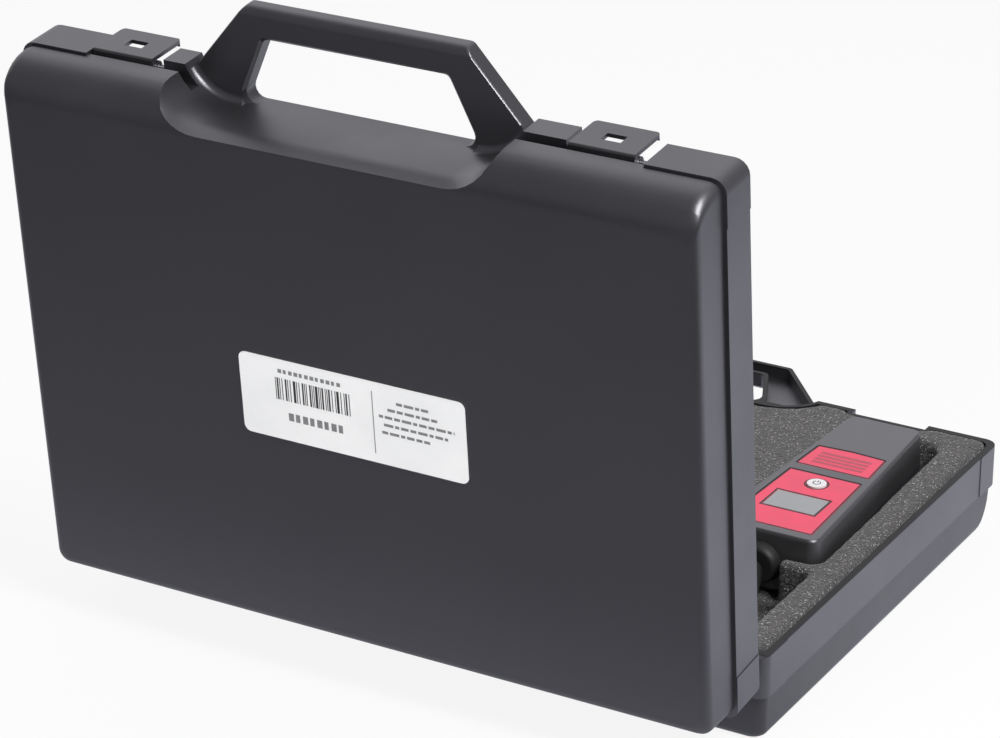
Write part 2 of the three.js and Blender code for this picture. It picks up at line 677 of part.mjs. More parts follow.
function lidShell() {
  const side = 1;
  const sunk = [
    box(MIDDLE_FROM, MIDDLE_TO, CASE_WIDTH - CHANNEL_DROP, CASE_WIDTH + OVERRUN, CHANNEL_START, CHANNEL_END),
  ];
  const kept = [
    box(MIDDLE_FROM - WALL, MIDDLE_TO + WALL, CASE_WIDTH - CHANNEL_DROP - WALL, CASE_WIDTH,
      CHANNEL_START - WALL, CHANNEL_END + WALL),
  ];
  const bare = box(MIDDLE_FROM, MIDDLE_TO, CASE_WIDTH / 2, CASE_WIDTH + 2 * OVERRUN, CHANNEL_START,
    BAND_HEIGHT + OVERRUN);
  for (const { from, to } of LATCH_SPOTS) {
    kept.push(box(from - LATCH_CHEEK, to + LATCH_CHEEK, CASE_WIDTH - NOTCH_DROP, CASE_WIDTH,
      FOAM_PROUD + FOAM_GAP, CHANNEL_END + WALL));
    sunk.push(box(from, to, CASE_WIDTH - NOTCH_DROP - OVERRUN, CASE_WIDTH + OVERRUN, -OVERRUN, CHANNEL_END));
    sunk.push(rodX(LATCH_PIN_RADIUS + PIN_FIT, from - LATCH_CHEEK - OVERRUN, to + LATCH_CHEEK + OVERRUN,
      PIVOT_Y, LATCH_PIVOT_IN));
  }
  const { outer, cavity } = halfShell(LID_DEPTH, side, sunk, kept, bare);
  let shell = outer.add(halfHandle(side)).add(footFillet(side)).subtract(cavity);
  const axisZ = -HINGE_DROP - PARTING_GAP;
  for (const x of HINGE_SPOTS) {
    const lug = rodX(LUG_RADIUS, x - LUG_WIDTH / 2, x + LUG_WIDTH / 2, HINGE_IN, axisZ, ROUND_SIDES)
      .add(box(x - LUG_WIDTH / 2, x + LUG_WIDTH / 2, LUG_OUTER_GAP, LUG_OUTER_GAP + LUG_THICKNESS,
        axisZ, WALL));
    const bore = rodX(HINGE_PIN_RADIUS + TURNING_FIT, x - LUG_WIDTH, x + LUG_WIDTH, HINGE_IN, axisZ);
    shell = shell.add(lug).subtract(bore);
  }
  return shell;
}

// A latch is drawn about its pivot, with its plate reaching past the parting plane
function latch() {
  const face = LATCH_PIVOT_DROP + LATCH_PROUD;
  const inside = face - LATCH_THICKNESS;
  const front = LATCH_LENGTH - LATCH_REACH - LATCH_PIVOT_IN;
  const tip = -LATCH_REACH - LATCH_PIVOT_IN;
  const half = LATCH_WIDTH / 2;
  const profile = rounded([
    [face, tip, LATCH_THICKNESS / 3],
    [face, front, LATCH_BEND],
    [0, front, 0],
    [0, front - LATCH_LEG, 0],
    [inside, front - LATCH_LEG, 0],
    [inside, tip + HOOK_WIDTH, 0],
    [inside - HOOK_HEIGHT, tip + HOOK_WIDTH, 0],
    [inside - HOOK_HEIGHT / 4, tip, 0],
  ]);
  const plan = rounded([
    [-half, tip, LATCH_CORNER],
    [half, tip, LATCH_CORNER],
    [half, front, 0],
    [-half, front, 0],
  ]);
  const slotMiddle = tip + SLOT_FROM_TIP;
  return alongX(profile, -half, half)
    .intersect(alongY(plan, -OVERRUN, face))
    .add(rodX(LATCH_BARREL_RADIUS, -half, half, 0, 0))
    .subtract(box(-SLOT_LENGTH / 2, SLOT_LENGTH / 2, inside - OVERRUN, face + OVERRUN,
      slotMiddle - SLOT_WIDTH / 2, slotMiddle + SLOT_WIDTH / 2))
    .subtract(rodX(LATCH_PIN_RADIUS + TURNING_FIT, -half - OVERRUN, half + OVERRUN, 0, 0));
}

function baseFoam() {
  const clear = WALL + FOAM_GAP;
  const floor = -BASE_DEPTH + clear;
  let foam = bodyForm(BASE_DEPTH, -1, clear)
    .intersect(box(-HALF_LENGTH, HALF_LENGTH, 0, CASE_WIDTH, FOAM_PROUD, floor - OVERRUN))
    .subtract(prism(scoopOutline(clear + SCOOP_FLARE), -BASE_DEPTH, OVERRUN));
  for (const { from, to } of LATCH_SPOTS) {
    foam = foam.subtract(box(from - clear, to + clear, RECESS_FACE - clear, CASE_WIDTH, OVERRUN, -BASE_DEPTH));
  }
  const cheek = LUG_WIDTH / 2 + HINGE_SIDE_GAP + HINGE_CHEEK + FOAM_GAP;
  for (const x of HINGE_SPOTS) {
    foam = foam.subtract(box(x - cheek, x + cheek, 0, HINGE_IN + LUG_RADIUS + HINGE_SWING_GAP + clear,
      OVERRUN, -HINGE_DROP - LUG_RADIUS - HINGE_SWING_GAP - clear));
  }
  // pocket that the tester lies in, wider past its far end
  const bottom = TESTER_PROUD - TESTER_HEIGHT - SEAT_GAP;
  foam = foam.subtract(prism(testerOutline(-POCKET_MARGIN, POCKET_FAR_MARGIN), bottom, OVERRUN));
  // pocket that the probe lies in, joined to it round the boot
  const probeFloor = NECK_LOW_Z - HEAD_RADIUS - SEAT_GAP - RIM_Z;
  foam = foam.subtract(prism(rounded([
    [TESTER_X - PROBE_POCKET_TO_LEFT, PROBE_POCKET_NEAR, PROBE_POCKET_CORNER],
    [TESTER_X + PROBE_POCKET_TO_RIGHT, PROBE_POCKET_NEAR, PROBE_POCKET_CORNER],
    [TESTER_X + PROBE_POCKET_TO_RIGHT, TESTER_NEAR - POCKET_WEB, PROBE_POCKET_CORNER],
    [TESTER_X - PROBE_POCKET_TO_LEFT, TESTER_NEAR - POCKET_WEB, PROBE_POCKET_CORNER],
  ]), probeFloor, OVERRUN));
  const bootHalf = BOOT_RADIUS + POCKET_MARGIN;
  foam = foam.subtract(box(TESTER_X - bootHalf, TESTER_X + bootHalf, TESTER_NEAR - POCKET_WEB - OVERRUN,
    TESTER_NEAR + OVERRUN, OVERRUN, bottom));
  return foam;
}

function lidFoam() {
  const clear = WALL + FOAM_GAP;
  return bodyForm(LID_DEPTH, 1, clear)
    .intersect(box(-HALF_LENGTH, HALF_LENGTH, 0, CASE_WIDTH, LID_DEPTH - clear - LID_FOAM_THICKNESS, LID_DEPTH))
    .subtract(prism(scoopOutline(clear + SCOOP_FLARE), -OVERRUN, LID_DEPTH))
    .subtract(box(MIDDLE_FROM - LATCH_CHEEK - FOAM_GAP, MIDDLE_TO + LATCH_CHEEK + FOAM_GAP,
      CASE_WIDTH - NOTCH_DROP - OVERRUN, CASE_WIDTH, -OVERRUN, CHANNEL_END + clear));
}

// Tester, drawn in the case's plan, with z from its own underside.

function testerOutline(inset, farExtra = 0) {
  const near = TESTER_NEAR + inset;
  const far = TESTER_NEAR + TESTER_LENGTH - inset + farExtra;
  const nearHalf = TESTER_NEAR_WIDTH / 2 - inset;
  const farHalf = TESTER_FAR_WIDTH / 2 - inset;
  const corner = Math.max(TESTER_CORNER - inset, TESTER_CORNER / 4);
  return rounded([
    [TESTER_X - nearHalf, near, corner],
    [TESTER_X + nearHalf, near, corner],
    [TESTER_X + farHalf + farExtra, far, corner],
    [TESTER_X - farHalf, far, corner],
  ]);
}

const CEILING = TESTER_HEIGHT - FOIL_RECESS - TESTER_WALL;
const BOARD_TOP = TESTER_HEIGHT - BOARD_TOP_DROP;
const INNER_INSET = TESTER_WALL + TESTER_BOTTOM_INSET / 2;
const FOIL_FLOOR = TESTER_HEIGHT - FOIL_RECESS;
const NEAR_RIB = BATTERY_NEAR - SEAT_GAP - CONTACT_PLATE - SEAT_GAP - RIB_THICKNESS;
const FAR_RIB = BATTERY_NEAR + BATTERY_LENGTH + SEAT_GAP + CONTACT_PLATE + SEAT_GAP;
const COVER_NEAR = NEAR_RIB + RIB_THICKNESS / 2 - BOSS_RADIUS - COVER_SCREW_IN;
const COVER_SCREW_Y = COVER_NEAR + COVER_SCREW_IN;
const SCREW_SPOTS = [
  [-1, TESTER_NEAR + SCREW_NEAR_IN],
  [1, TESTER_NEAR + SCREW_NEAR_IN],
  [-1, TESTER_FAR - SCREW_FAR_IN],
  [1, TESTER_FAR - SCREW_FAR_IN],
].map(([end, y]) => {
  const taper = (TESTER_NEAR_WIDTH - TESTER_FAR_WIDTH) / 2 / TESTER_LENGTH;
  return { x: TESTER_X + end * (TESTER_NEAR_WIDTH / 2 - taper * (y - TESTER_NEAR) - SCREW_SIDE_IN), y };
});

function upperFoil(inset) {
  return rounded([
    [TESTER_X - UPPER_FOIL_NEAR_HALF + inset, UPPER_FOIL_NEAR + inset, FOIL_CORNER],
    [TESTER_X + UPPER_FOIL_NEAR_HALF - inset, UPPER_FOIL_NEAR + inset, FOIL_CORNER],
    [TESTER_X + UPPER_FOIL_FAR_HALF - inset, UPPER_FOIL_FAR - inset, FOIL_CORNER],
    [TESTER_X, UPPER_FOIL_FAR + UPPER_FOIL_BOW - inset, 0],
    [TESTER_X - UPPER_FOIL_FAR_HALF + inset, UPPER_FOIL_FAR - inset, FOIL_CORNER],
  ]);
}

function lowerFoil(inset) {
  return rounded([
    [TESTER_X - LOWER_FOIL_NEAR_HALF + inset, LOWER_FOIL_NEAR + inset, FOIL_CORNER],
    [TESTER_X + LOWER_FOIL_NEAR_HALF - inset, LOWER_FOIL_NEAR + inset, FOIL_CORNER],
    [TESTER_X + LOWER_FOIL_FAR_HALF - inset, LOWER_FOIL_FAR - inset, FOIL_CORNER],
    [TESTER_X - LOWER_FOIL_FAR_HALF + inset, LOWER_FOIL_FAR - inset, FOIL_CORNER],
  ]);
}

function lcdCut(grow, z0, z1) {
  return box(TESTER_X - LCD_LENGTH / 2 - grow, TESTER_X + LCD_LENGTH / 2 + grow,
    LCD_Y - LCD_WIDTH / 2 - grow, LCD_Y + LCD_WIDTH / 2 + grow, z0, z1);
}

function bootBore() {
  return solidOf(new THREE.CylinderGeometry(
    BOOT_SPIGOT_RADIUS + SEAT_GAP,
    BOOT_SPIGOT_RADIUS + SEAT_GAP,
    TESTER_CORNER + OVERRUN,
    ROUND_SIDES,
  ).translate(TESTER_X, TESTER_NEAR, BOOT_Z));
}

function frontHousing() {
  const seat = TESTER_SPLIT + SEAM;
  let shell = loft([
    { points: testerOutline(0), z: seat },
    { points: testerOutline(TESTER_SIDE_DRAFT), z: TESTER_HEIGHT - TESTER_TOP_FALL },
    { points: testerOutline((TESTER_SIDE_DRAFT + TESTER_TOP_INSET) / 2), z: TESTER_HEIGHT - TESTER_TOP_FALL / 4 },
    { points: testerOutline(TESTER_TOP_INSET), z: TESTER_HEIGHT },
  ]);
  shell = shell.subtract(prism(testerOutline(INNER_INSET), TESTER_SPLIT - OVERRUN, CEILING));
  for (const { x, y } of SCREW_SPOTS) {
    shell = shell.add(rodZ(BOSS_RADIUS, x, y, seat, CEILING + TESTER_WALL / 2));
    shell = shell.subtract(rodZ(SCREW_RADIUS + SCREW_FIT, x, y, TESTER_SPLIT, TESTER_SPLIT + SCREW_BITE + SEAT_GAP));
  }
  return shell
    .subtract(prism(upperFoil(0), FOIL_FLOOR, TESTER_HEIGHT + OVERRUN))
    .subtract(prism(lowerFoil(0), FOIL_FLOOR, TESTER_HEIGHT + OVERRUN))
    .subtract(lcdCut(SEAT_GAP, TESTER_SPLIT, TESTER_HEIGHT))
    .subtract(rodZ(BUTTON_RADIUS + BUTTON_GAP, TESTER_X, BUTTON_Y, TESTER_SPLIT, TESTER_HEIGHT, ROUND_SIDES))
    .subtract(bootBore());
}

function rearHousing() {
  const rows = [];
  for (let k = 0; k <= ARC_STEPS; k += 1) {
    const angle = (k / ARC_STEPS) * (Math.PI / 2);
    rows.push({
      points: testerOutline(TESTER_BOTTOM_INSET * (1 - Math.sin(angle))),
      z: TESTER_BOTTOM_RISE * (1 - Math.cos(angle)),
    });
  }
  rows.push({ points: testerOutline(0), z: TESTER_SPLIT });
  let shell = loft(rows)
    .subtract(prism(testerOutline(INNER_INSET), TESTER_WALL, TESTER_SPLIT + OVERRUN));
  const cross = (y, top) => prism(testerOutline(INNER_INSET - TESTER_WALL / 4), TESTER_WALL / 2, top)
    .intersect(box(TESTER_X - TESTER_NEAR_WIDTH, TESTER_X + TESTER_NEAR_WIDTH, y, y + RIB_THICKNESS, 0, TESTER_HEIGHT));
  const boardFloor = BOARD_TOP - BOARD_THICKNESS - SEAT_GAP;
  shell = shell.add(cross(BOARD_RIB_Y, boardFloor).intersect(prism(testerOutline(INNER_INSET + BOARD_GAP), 0, TESTER_HEIGHT)
    .add(box(TESTER_X - TESTER_NEAR_WIDTH, TESTER_X + TESTER_NEAR_WIDTH, TESTER_NEAR, TESTER_FAR, 0, TESTER_SPLIT))));
  shell = shell.add(cross(NEAR_RIB, TESTER_SPLIT)).add(cross(FAR_RIB, TESTER_SPLIT));
  // post under the board's far end, which also takes the cover's screw
  shell = shell.add(rodZ(BOSS_RADIUS, TESTER_X, COVER_SCREW_Y, TESTER_WALL / 2, boardFloor));
  for (const { x, y } of SCREW_SPOTS) {
    const sink = SCREW_HEAD_HEIGHT + SCREW_HEAD_SINK;
    shell = shell.add(rodZ(BOSS_RADIUS, x, y, TESTER_WALL / 2, TESTER_SPLIT))
      .add(rodZ(BOSS_RADIUS + TESTER_WALL / 2, x, y, TESTER_WALL / 2, sink + TESTER_WALL))
      .subtract(rodZ(SCREW_RADIUS + SCREW_FIT, x, y, -OVERRUN, TESTER_SPLIT + OVERRUN))
      .subtract(rodZ(SCREW_HEAD_RADIUS + SCREW_FIT, x, y, -OVERRUN, sink));
  }
  const coverSpan = [COVER_NEAR - COVER_GAP, COVER_NEAR + COVER_LENGTH + COVER_GAP];
  const coverHalf = COVER_WIDTH / 2 + COVER_GAP;
  shell = shell
    .subtract(box(TESTER_X - coverHalf, TESTER_X + coverHalf, coverSpan[0], coverSpan[1], -OVERRUN, COVER_THICKNESS))
    .subtract(box(TESTER_X - coverHalf + COVER_LEDGE, TESTER_X + coverHalf - COVER_LEDGE,
      NEAR_RIB + RIB_THICKNESS, FAR_RIB, -OVERRUN, TESTER_WALL + OVERRUN))
    .subtract(rodZ(SCREW_HEAD_RADIUS + SCREW_FIT, TESTER_X, COVER_SCREW_Y, -OVERRUN, SCREW_HEAD_HEIGHT + SCREW_HEAD_SINK))
    .subtract(rodZ(SCREW_RADIUS + SCREW_FIT, TESTER_X, COVER_SCREW_Y, -OVERRUN,
      SCREW_HEAD_HEIGHT + SCREW_HEAD_SINK + SCREW_BITE + SEAT_GAP));
  return shell.subtract(bootBore());
}

function batteryCover() {
  const outline = rounded([
    [TESTER_X - COVER_WIDTH / 2, COVER_NEAR, COVER_CORNER],
    [TESTER_X + COVER_WIDTH / 2, COVER_NEAR, COVER_CORNER],
    [TESTER_X + COVER_WIDTH / 2, COVER_NEAR + COVER_LENGTH, COVER_CORNER],
    [TESTER_X - COVER_WIDTH / 2, COVER_NEAR + COVER_LENGTH, COVER_CORNER],
  ]);
  return prism(outline, 0, COVER_THICKNESS - SEAT_GAP / 3)
    .subtract(rodZ(SCREW_HEAD_RADIUS + SCREW_FIT, TESTER_X, COVER_SCREW_Y, -OVERRUN, OVERRUN));
}

// Pan-head screw with its head down at z0 and its shank reaching up
function screw(x, y, z0, shank) {
  return rodZ(SCREW_HEAD_RADIUS, x, y, z0, z0 + SCREW_HEAD_HEIGHT)
    .add(rodZ(SCREW_RADIUS, x, y, z0 + SCREW_HEAD_HEIGHT / 2, z0 + SCREW_HEAD_HEIGHT + shank));
}

function battery(x) {
  const z = COVER_THICKNESS + SEAT_GAP + BATTERY_RADIUS;
  const far = BATTERY_NEAR + BATTERY_LENGTH;
  const profile = [
    [0, 0],
    [BATTERY_RADIUS, 0],
    [BATTERY_RADIUS, BATTERY_LENGTH - BATTERY_CAP_HEIGHT],
    [BATTERY_CAP_RADIUS, BATTERY_LENGTH - BATTERY_CAP_HEIGHT],
    [BATTERY_CAP_RADIUS, BATTERY_LENGTH],
    [0, BATTERY_LENGTH],
  ];
  return solidOf(turned(profile, ROUND_SIDES).translate(x, far - BATTERY_LENGTH, z));
}

function contactPlate(y) {
  const z = COVER_THICKNESS + SEAT_GAP + BATTERY_RADIUS;
  return box(TESTER_X - CONTACT_WIDTH / 2, TESTER_X + CONTACT_WIDTH / 2, y, y + CONTACT_PLATE,
    z - CONTACT_HEIGHT / 2, z + CONTACT_HEIGHT / 2);
}

function circuitBoard() {
  let board = prism(testerOutline(INNER_INSET + BOARD_GAP), BOARD_TOP - BOARD_THICKNESS, BOARD_TOP)
    .intersect(box(TESTER_X - TESTER_NEAR_WIDTH, TESTER_X + TESTER_NEAR_WIDTH, TESTER_NEAR, BOARD_FAR,
      0, TESTER_HEIGHT));
  for (const { x, y } of SCREW_SPOTS) {
    board = board.subtract(rodZ(BOSS_RADIUS + SEAT_GAP, x, y, 0, TESTER_HEIGHT));
  }
  return board;
}

function powerSwitch() {
  const flangeFloor = CEILING - SEAT_GAP - BUTTON_FLANGE_THICKNESS;
  return box(TESTER_X - SWITCH_SIZE / 2, TESTER_X + SWITCH_SIZE / 2, BUTTON_Y - SWITCH_SIZE / 2,
    BUTTON_Y + SWITCH_SIZE / 2, BOARD_TOP, BOARD_TOP + SWITCH_BODY)
    .add(rodZ(SWITCH_STEM_RADIUS, TESTER_X, BUTTON_Y, BOARD_TOP, flangeFloor - BUTTON_TRAVEL - SWITCH_GAP));
}

function powerButton() {
  const flange = CEILING - SEAT_GAP - BUTTON_FLANGE_THICKNESS;
  return rodZ(BUTTON_RADIUS, TESTER_X, BUTTON_Y, flange, TESTER_HEIGHT + BUTTON_PROUD, ROUND_SIDES)
    .add(rodZ(BUTTON_RADIUS + BUTTON_FLANGE, TESTER_X, BUTTON_Y, flange, flange + BUTTON_FLANGE_THICKNESS, ROUND_SIDES));
}

const BOOT_FACE = TESTER_NEAR - SEAT_GAP;
const NECK_START_Y = BOOT_FACE - BOOT_LENGTH - NECK_BALL_GAP - NECK_RADIUS;
const NECK_REACH_Y = NECK_START_Y - NECK_FROM_HINGE_SIDE;

function neckBoot() {
  const profile = [[0, 0]];
  for (let k = 0; k <= ARC_STEPS; k += 1) {
    const angle = (k / ARC_STEPS) * (Math.PI / 2);
    profile.push([
      BOOT_END_RADIUS + (BOOT_RADIUS - BOOT_END_RADIUS) * Math.sin(angle),
      BOOT_LENGTH * (1 - Math.cos(angle)),
    ]);
  }
  profile.push([BOOT_SPIGOT_RADIUS, BOOT_LENGTH]);
  profile.push([BOOT_SPIGOT_RADIUS, BOOT_LENGTH + BOOT_SPIGOT_LENGTH]);
  profile.push([0, BOOT_LENGTH + BOOT_SPIGOT_LENGTH]);
  return solidOf(turned(profile, ROUND_SIDES).translate(TESTER_X, BOOT_FACE - BOOT_LENGTH, BOOT_Z));
}

function neckPoint([alongShare, acrossShare, downShare]) {
  return new THREE.Vector3(
    TESTER_X + alongShare * NECK_REACH_X,
    NECK_START_Y + acrossShare * NECK_REACH_Y,
    BOOT_Z + downShare * NECK_FALL,
  );
}

const NECK_END = neckPoint(NECK_ROUTE_SHARES[NECK_ROUTE_SHARES.length - 1]);

function probeNeck() {
  const route = new THREE.CatmullRomCurve3(NECK_ROUTE_SHARES.map(neckPoint));
  const ring = [];
  for (let k = 0; k < NECK_SIDES; k += 1) {
    const angle = (2 * Math.PI * k) / NECK_SIDES;
    ring.push(new THREE.Vector2(NECK_RADIUS * Math.cos(angle), NECK_RADIUS * Math.sin(angle)));
  }
  const tube = new THREE.ExtrudeGeometry(new THREE.Shape(ring), {
    steps: NECK_STEPS,
    bevelEnabled: false,
    extrudePath: route,
  });
  const ball = new THREE.SphereGeometry(NECK_RADIUS, SMALL_SIDES, SMALL_SIDES / 2)
    .translate(TESTER_X, NECK_START_Y, BOOT_Z);
  return solidOf(tube).add(solidOf(ball));
}

function sensorHead() {
  const profile = [
    [0, 0],
    [HEAD_RADIUS - HEAD_NOSE, 0],
    [HEAD_RADIUS, HEAD_NOSE],
    [HEAD_RADIUS, HEAD_LENGTH - HEAD_NOSE / 2],
    [HEAD_RADIUS - HEAD_NOSE / 2, HEAD_LENGTH],
    [0, HEAD_LENGTH],
  ];
  const start = NECK_END.x + HEAD_SOCKET;
  const nose = start - HEAD_LENGTH;
  const form = turned(profile, ROUND_SIDES).rotateZ(-Math.PI / 2).translate(nose, NECK_END.y, NECK_END.z);
  return solidOf(form)
    .subtract(rodX(NECK_RADIUS + SEAT_GAP, NECK_END.x - SEAT_GAP, start + OVERRUN, NECK_END.y, NECK_END.z, ROUND_SIDES))
    .subtract(rodX(LENS_RADIUS + SCREW_FIT, nose - OVERRUN, nose + LENS_BORE_DEPTH, NECK_END.y, NECK_END.z, ROUND_SIDES));
}

function sensorLens() {
  const nose = NECK_END.x + HEAD_SOCKET - HEAD_LENGTH;
  return rodX(LENS_RADIUS, nose + LENS_SET_IN, nose + LENS_SET_IN + LENS_THICKNESS, NECK_END.y, NECK_END.z, ROUND_SIDES);
}

const paint = (color, roughness, metalness = 0) => new THREE.MeshStandardMaterial({ color, roughness, metalness });
const CASE_BLACK = paint(0x2b2a2e, 0.55);
const LATCH_BLACK = paint(0x1c1b1e, 0.4);
const FOAM_GREY = paint(0x4c4c4e, 0.95);
const PAPER_WHITE = paint(0xf2f2f3, 0.7);
const BODY_GREY = paint(0x3f4044, 0.5);
const FOIL_RED = paint(0xc8202f, 0.45);
const WINDOW_GREY = paint(0x8f9296, 0.25);
const BUTTON_WHITE = paint(0xe9e9ea, 0.5);
const RUBBER_BLACK = paint(0x17171a, 0.7);
const STEEL = paint(0xa8aaad, 0.35, 1);
const BOARD_GREEN = paint(0x1d5a3a, 0.6);
const CELL_BLUE = paint(0x30508c, 0.4);

function mesh(name, solid, material) {
  const piece = new THREE.Mesh(geometryOf(solid), material);
  piece.name = name;
  return piece;
}

const tension = new THREE.Group();
tension.name = 'belt_tension_tester';

const base = new THREE.Group();
base.position.set(0, -CASE_WIDTH / 2, BASE_DEPTH);
base.add(mesh('base_shell', baseShell(), CASE_BLACK));
base.add(mesh('base_foam', baseFoam(), FOAM_GREY));
const pinReach = LUG_WIDTH / 2 + HINGE_SIDE_GAP + HINGE_CHEEK;
['left', 'right'].forEach((hand, i) => {
  const x = HINGE_SPOTS[i];
  base.add(mesh(`hinge_pin_${hand}`, rodX(HINGE_PIN_RADIUS, x - pinReach, x + pinReach, HINGE_IN, -HINGE_DROP), STEEL));
});
tension.add(base);

const lid = new THREE.Group();
lid.position.set(0, -CASE_WIDTH / 2 + HINGE_IN, BASE_DEPTH - HINGE_DROP);
lid.rotation.x = THREE.MathUtils.degToRad(OPEN_ANGLE);
const lidInside = new THREE.Group();
lidInside.position.set(0, -HINGE_IN, HINGE_DROP + PARTING_GAP);
lid.add(lidInside);
lidInside.add(mesh('lid_shell', lidShell(), CASE_BLACK));
lidInside.add(mesh('lid_foam', lidFoam(), FOAM_GREY));
for (const { name, from, to, middle } of LATCH_SPOTS) {
  const arm = mesh(`latch_${name}`, latch(), LATCH_BLACK);
  arm.position.set(middle, PIVOT_Y, LATCH_PIVOT_IN);
  lidInside.add(arm);
  const pin = rodX(LATCH_PIN_RADIUS, from - LATCH_CHEEK, to + LATCH_CHEEK, PIVOT_Y, LATCH_PIVOT_IN);
  lidInside.add(mesh(`latch_pin_${name}`, pin, STEEL));
}
const labelOutline = rounded([
  [LABEL_OFFSET - LABEL_LENGTH / 2, LABEL_FROM_HINGE, LABEL_CORNER],
  [LABEL_OFFSET + LABEL_LENGTH / 2, LABEL_FROM_HINGE, LABEL_CORNER],
  [LABEL_OFFSET + LABEL_LENGTH / 2, LABEL_FROM_HINGE + LABEL_WIDTH, LABEL_CORNER],
  [LABEL_OFFSET - LABEL_LENGTH / 2, LABEL_FROM_HINGE + LABEL_WIDTH, LABEL_CORNER],
]);
const labelSeat = LID_DEPTH + LABEL_GAP;
lidInside.add(mesh('case_label', prism(labelOutline, labelSeat, labelSeat + LABEL_THICKNESS), PAPER_WHITE));
tension.add(lid);

const tester = new THREE.Group();
tester.position.set(0, -CASE_WIDTH / 2, TESTER_Z);
const foilTop = FOIL_FLOOR + FOIL_THICKNESS;
tester.add(mesh('tester_rear_housing', rearHousing(), BODY_GREY));
tester.add(mesh('tester_front_housing', frontHousing(), BODY_GREY));
tester.add(mesh('upper_panel', prism(upperFoil(FOIL_GAP), FOIL_FLOOR, foilTop), FOIL_RED));
const lowerPanel = prism(lowerFoil(FOIL_GAP), FOIL_FLOOR, foilTop)
  .subtract(lcdCut(SEAT_GAP, FOIL_FLOOR - OVERRUN, TESTER_HEIGHT))
  .subtract(rodZ(BUTTON_RADIUS + BUTTON_GAP, TESTER_X, BUTTON_Y, FOIL_FLOOR - OVERRUN, TESTER_HEIGHT, ROUND_SIDES));
tester.add(mesh('lower_panel', lowerPanel, FOIL_RED));
tester.add(mesh('lcd_window', lcdCut(0, foilTop - LCD_THICKNESS, foilTop), WINDOW_GREY));
tester.add(mesh('lcd_module', lcdCut(LCD_MODULE_MARGIN, BOARD_TOP, CEILING - SEAT_GAP), BODY_GREY));
tester.add(mesh('power_button', powerButton(), BUTTON_WHITE));
tester.add(mesh('power_switch', powerSwitch(), RUBBER_BLACK));
tester.add(mesh('circuit_board', circuitBoard(), BOARD_GREEN));
tester.add(mesh('battery_left', battery(TESTER_X - BATTERY_SPACING / 2), CELL_BLUE));
tester.add(mesh('battery_right', battery(TESTER_X + BATTERY_SPACING / 2), CELL_BLUE));
tester.add(mesh('battery_contact_near', contactPlate(BATTERY_NEAR - SEAT_GAP - CONTACT_PLATE), STEEL));
tester.add(mesh('battery_contact_far', contactPlate(BATTERY_NEAR + BATTERY_LENGTH + SEAT_GAP), STEEL));
tester.add(mesh('battery_cover', batteryCover(), BODY_GREY));
tester.add(mesh('battery_cover_screw', screw(TESTER_X, COVER_SCREW_Y, SCREW_HEAD_SINK - SEAT_GAP, SCREW_BITE), STEEL));
SCREW_SPOTS.forEach(({ x, y }, i) => {
  const solid = screw(x, y, SCREW_HEAD_SINK - SEAT_GAP, TESTER_SPLIT + SCREW_BITE - SCREW_HEAD_HEIGHT - SCREW_HEAD_SINK);
  tester.add(mesh(`housing_screw_${i + 1}`, solid, STEEL));
});
tester.add(mesh('neck_boot', neckBoot(), RUBBER_BLACK));
tester.add(mesh('probe_neck', probeNeck(), RUBBER_BLACK));
tester.add(mesh('sensor_head', sensorHead(), LATCH_BLACK));
tester.add(mesh('sensor_lens', sensorLens(), WINDOW_GREY));
tension.add(tester);

export default tension;
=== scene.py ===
"""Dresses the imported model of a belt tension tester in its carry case."""
import math

import bmesh
import bpy
from mathutils import Matrix, Vector


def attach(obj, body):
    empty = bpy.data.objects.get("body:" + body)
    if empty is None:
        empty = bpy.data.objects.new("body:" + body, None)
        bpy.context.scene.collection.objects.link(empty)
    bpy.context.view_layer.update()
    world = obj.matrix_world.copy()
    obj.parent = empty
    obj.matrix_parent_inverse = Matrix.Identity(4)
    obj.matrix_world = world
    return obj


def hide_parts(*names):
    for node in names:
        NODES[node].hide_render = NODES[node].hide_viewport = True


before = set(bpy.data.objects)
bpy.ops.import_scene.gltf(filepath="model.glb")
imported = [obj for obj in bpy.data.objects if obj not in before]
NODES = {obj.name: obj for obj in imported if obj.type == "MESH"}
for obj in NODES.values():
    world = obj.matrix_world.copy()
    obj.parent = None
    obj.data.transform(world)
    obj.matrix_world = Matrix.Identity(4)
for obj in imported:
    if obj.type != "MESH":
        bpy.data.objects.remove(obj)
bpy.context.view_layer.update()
MM = 0.001

# Sizes of the case, the label and the tester as in the CAD source, in millimetres
CASE_WIDTH = 226.5
OPEN_ANGLE = math.radians(95.65)
HINGE_IN = 3.92
HINGE_DROP = 8.85
PARTING_GAP = 0.3
BASE_DEPTH = 38.5
LID_DEPTH = 38.2
LABEL_HALF = 50
LABEL_OFFSET = 1.3
LABEL_FROM_HINGE = 89
LABEL_GAP = 0.2
LABEL_THICKNESS = 0.3
TESTER_X = 110
FOIL_TOP = 47.9
BUTTON_Y = 131.7
BUTTON_TOP = 48.5

# How far print lies above its surface, in millimetres
PRINT_LIFT = 0.03


def add(name, data):
    """A new object in the scene."""
    obj = bpy.data.objects.new(name, data)
    bpy.context.scene.collection.objects.link(obj)
    return obj


# Materials


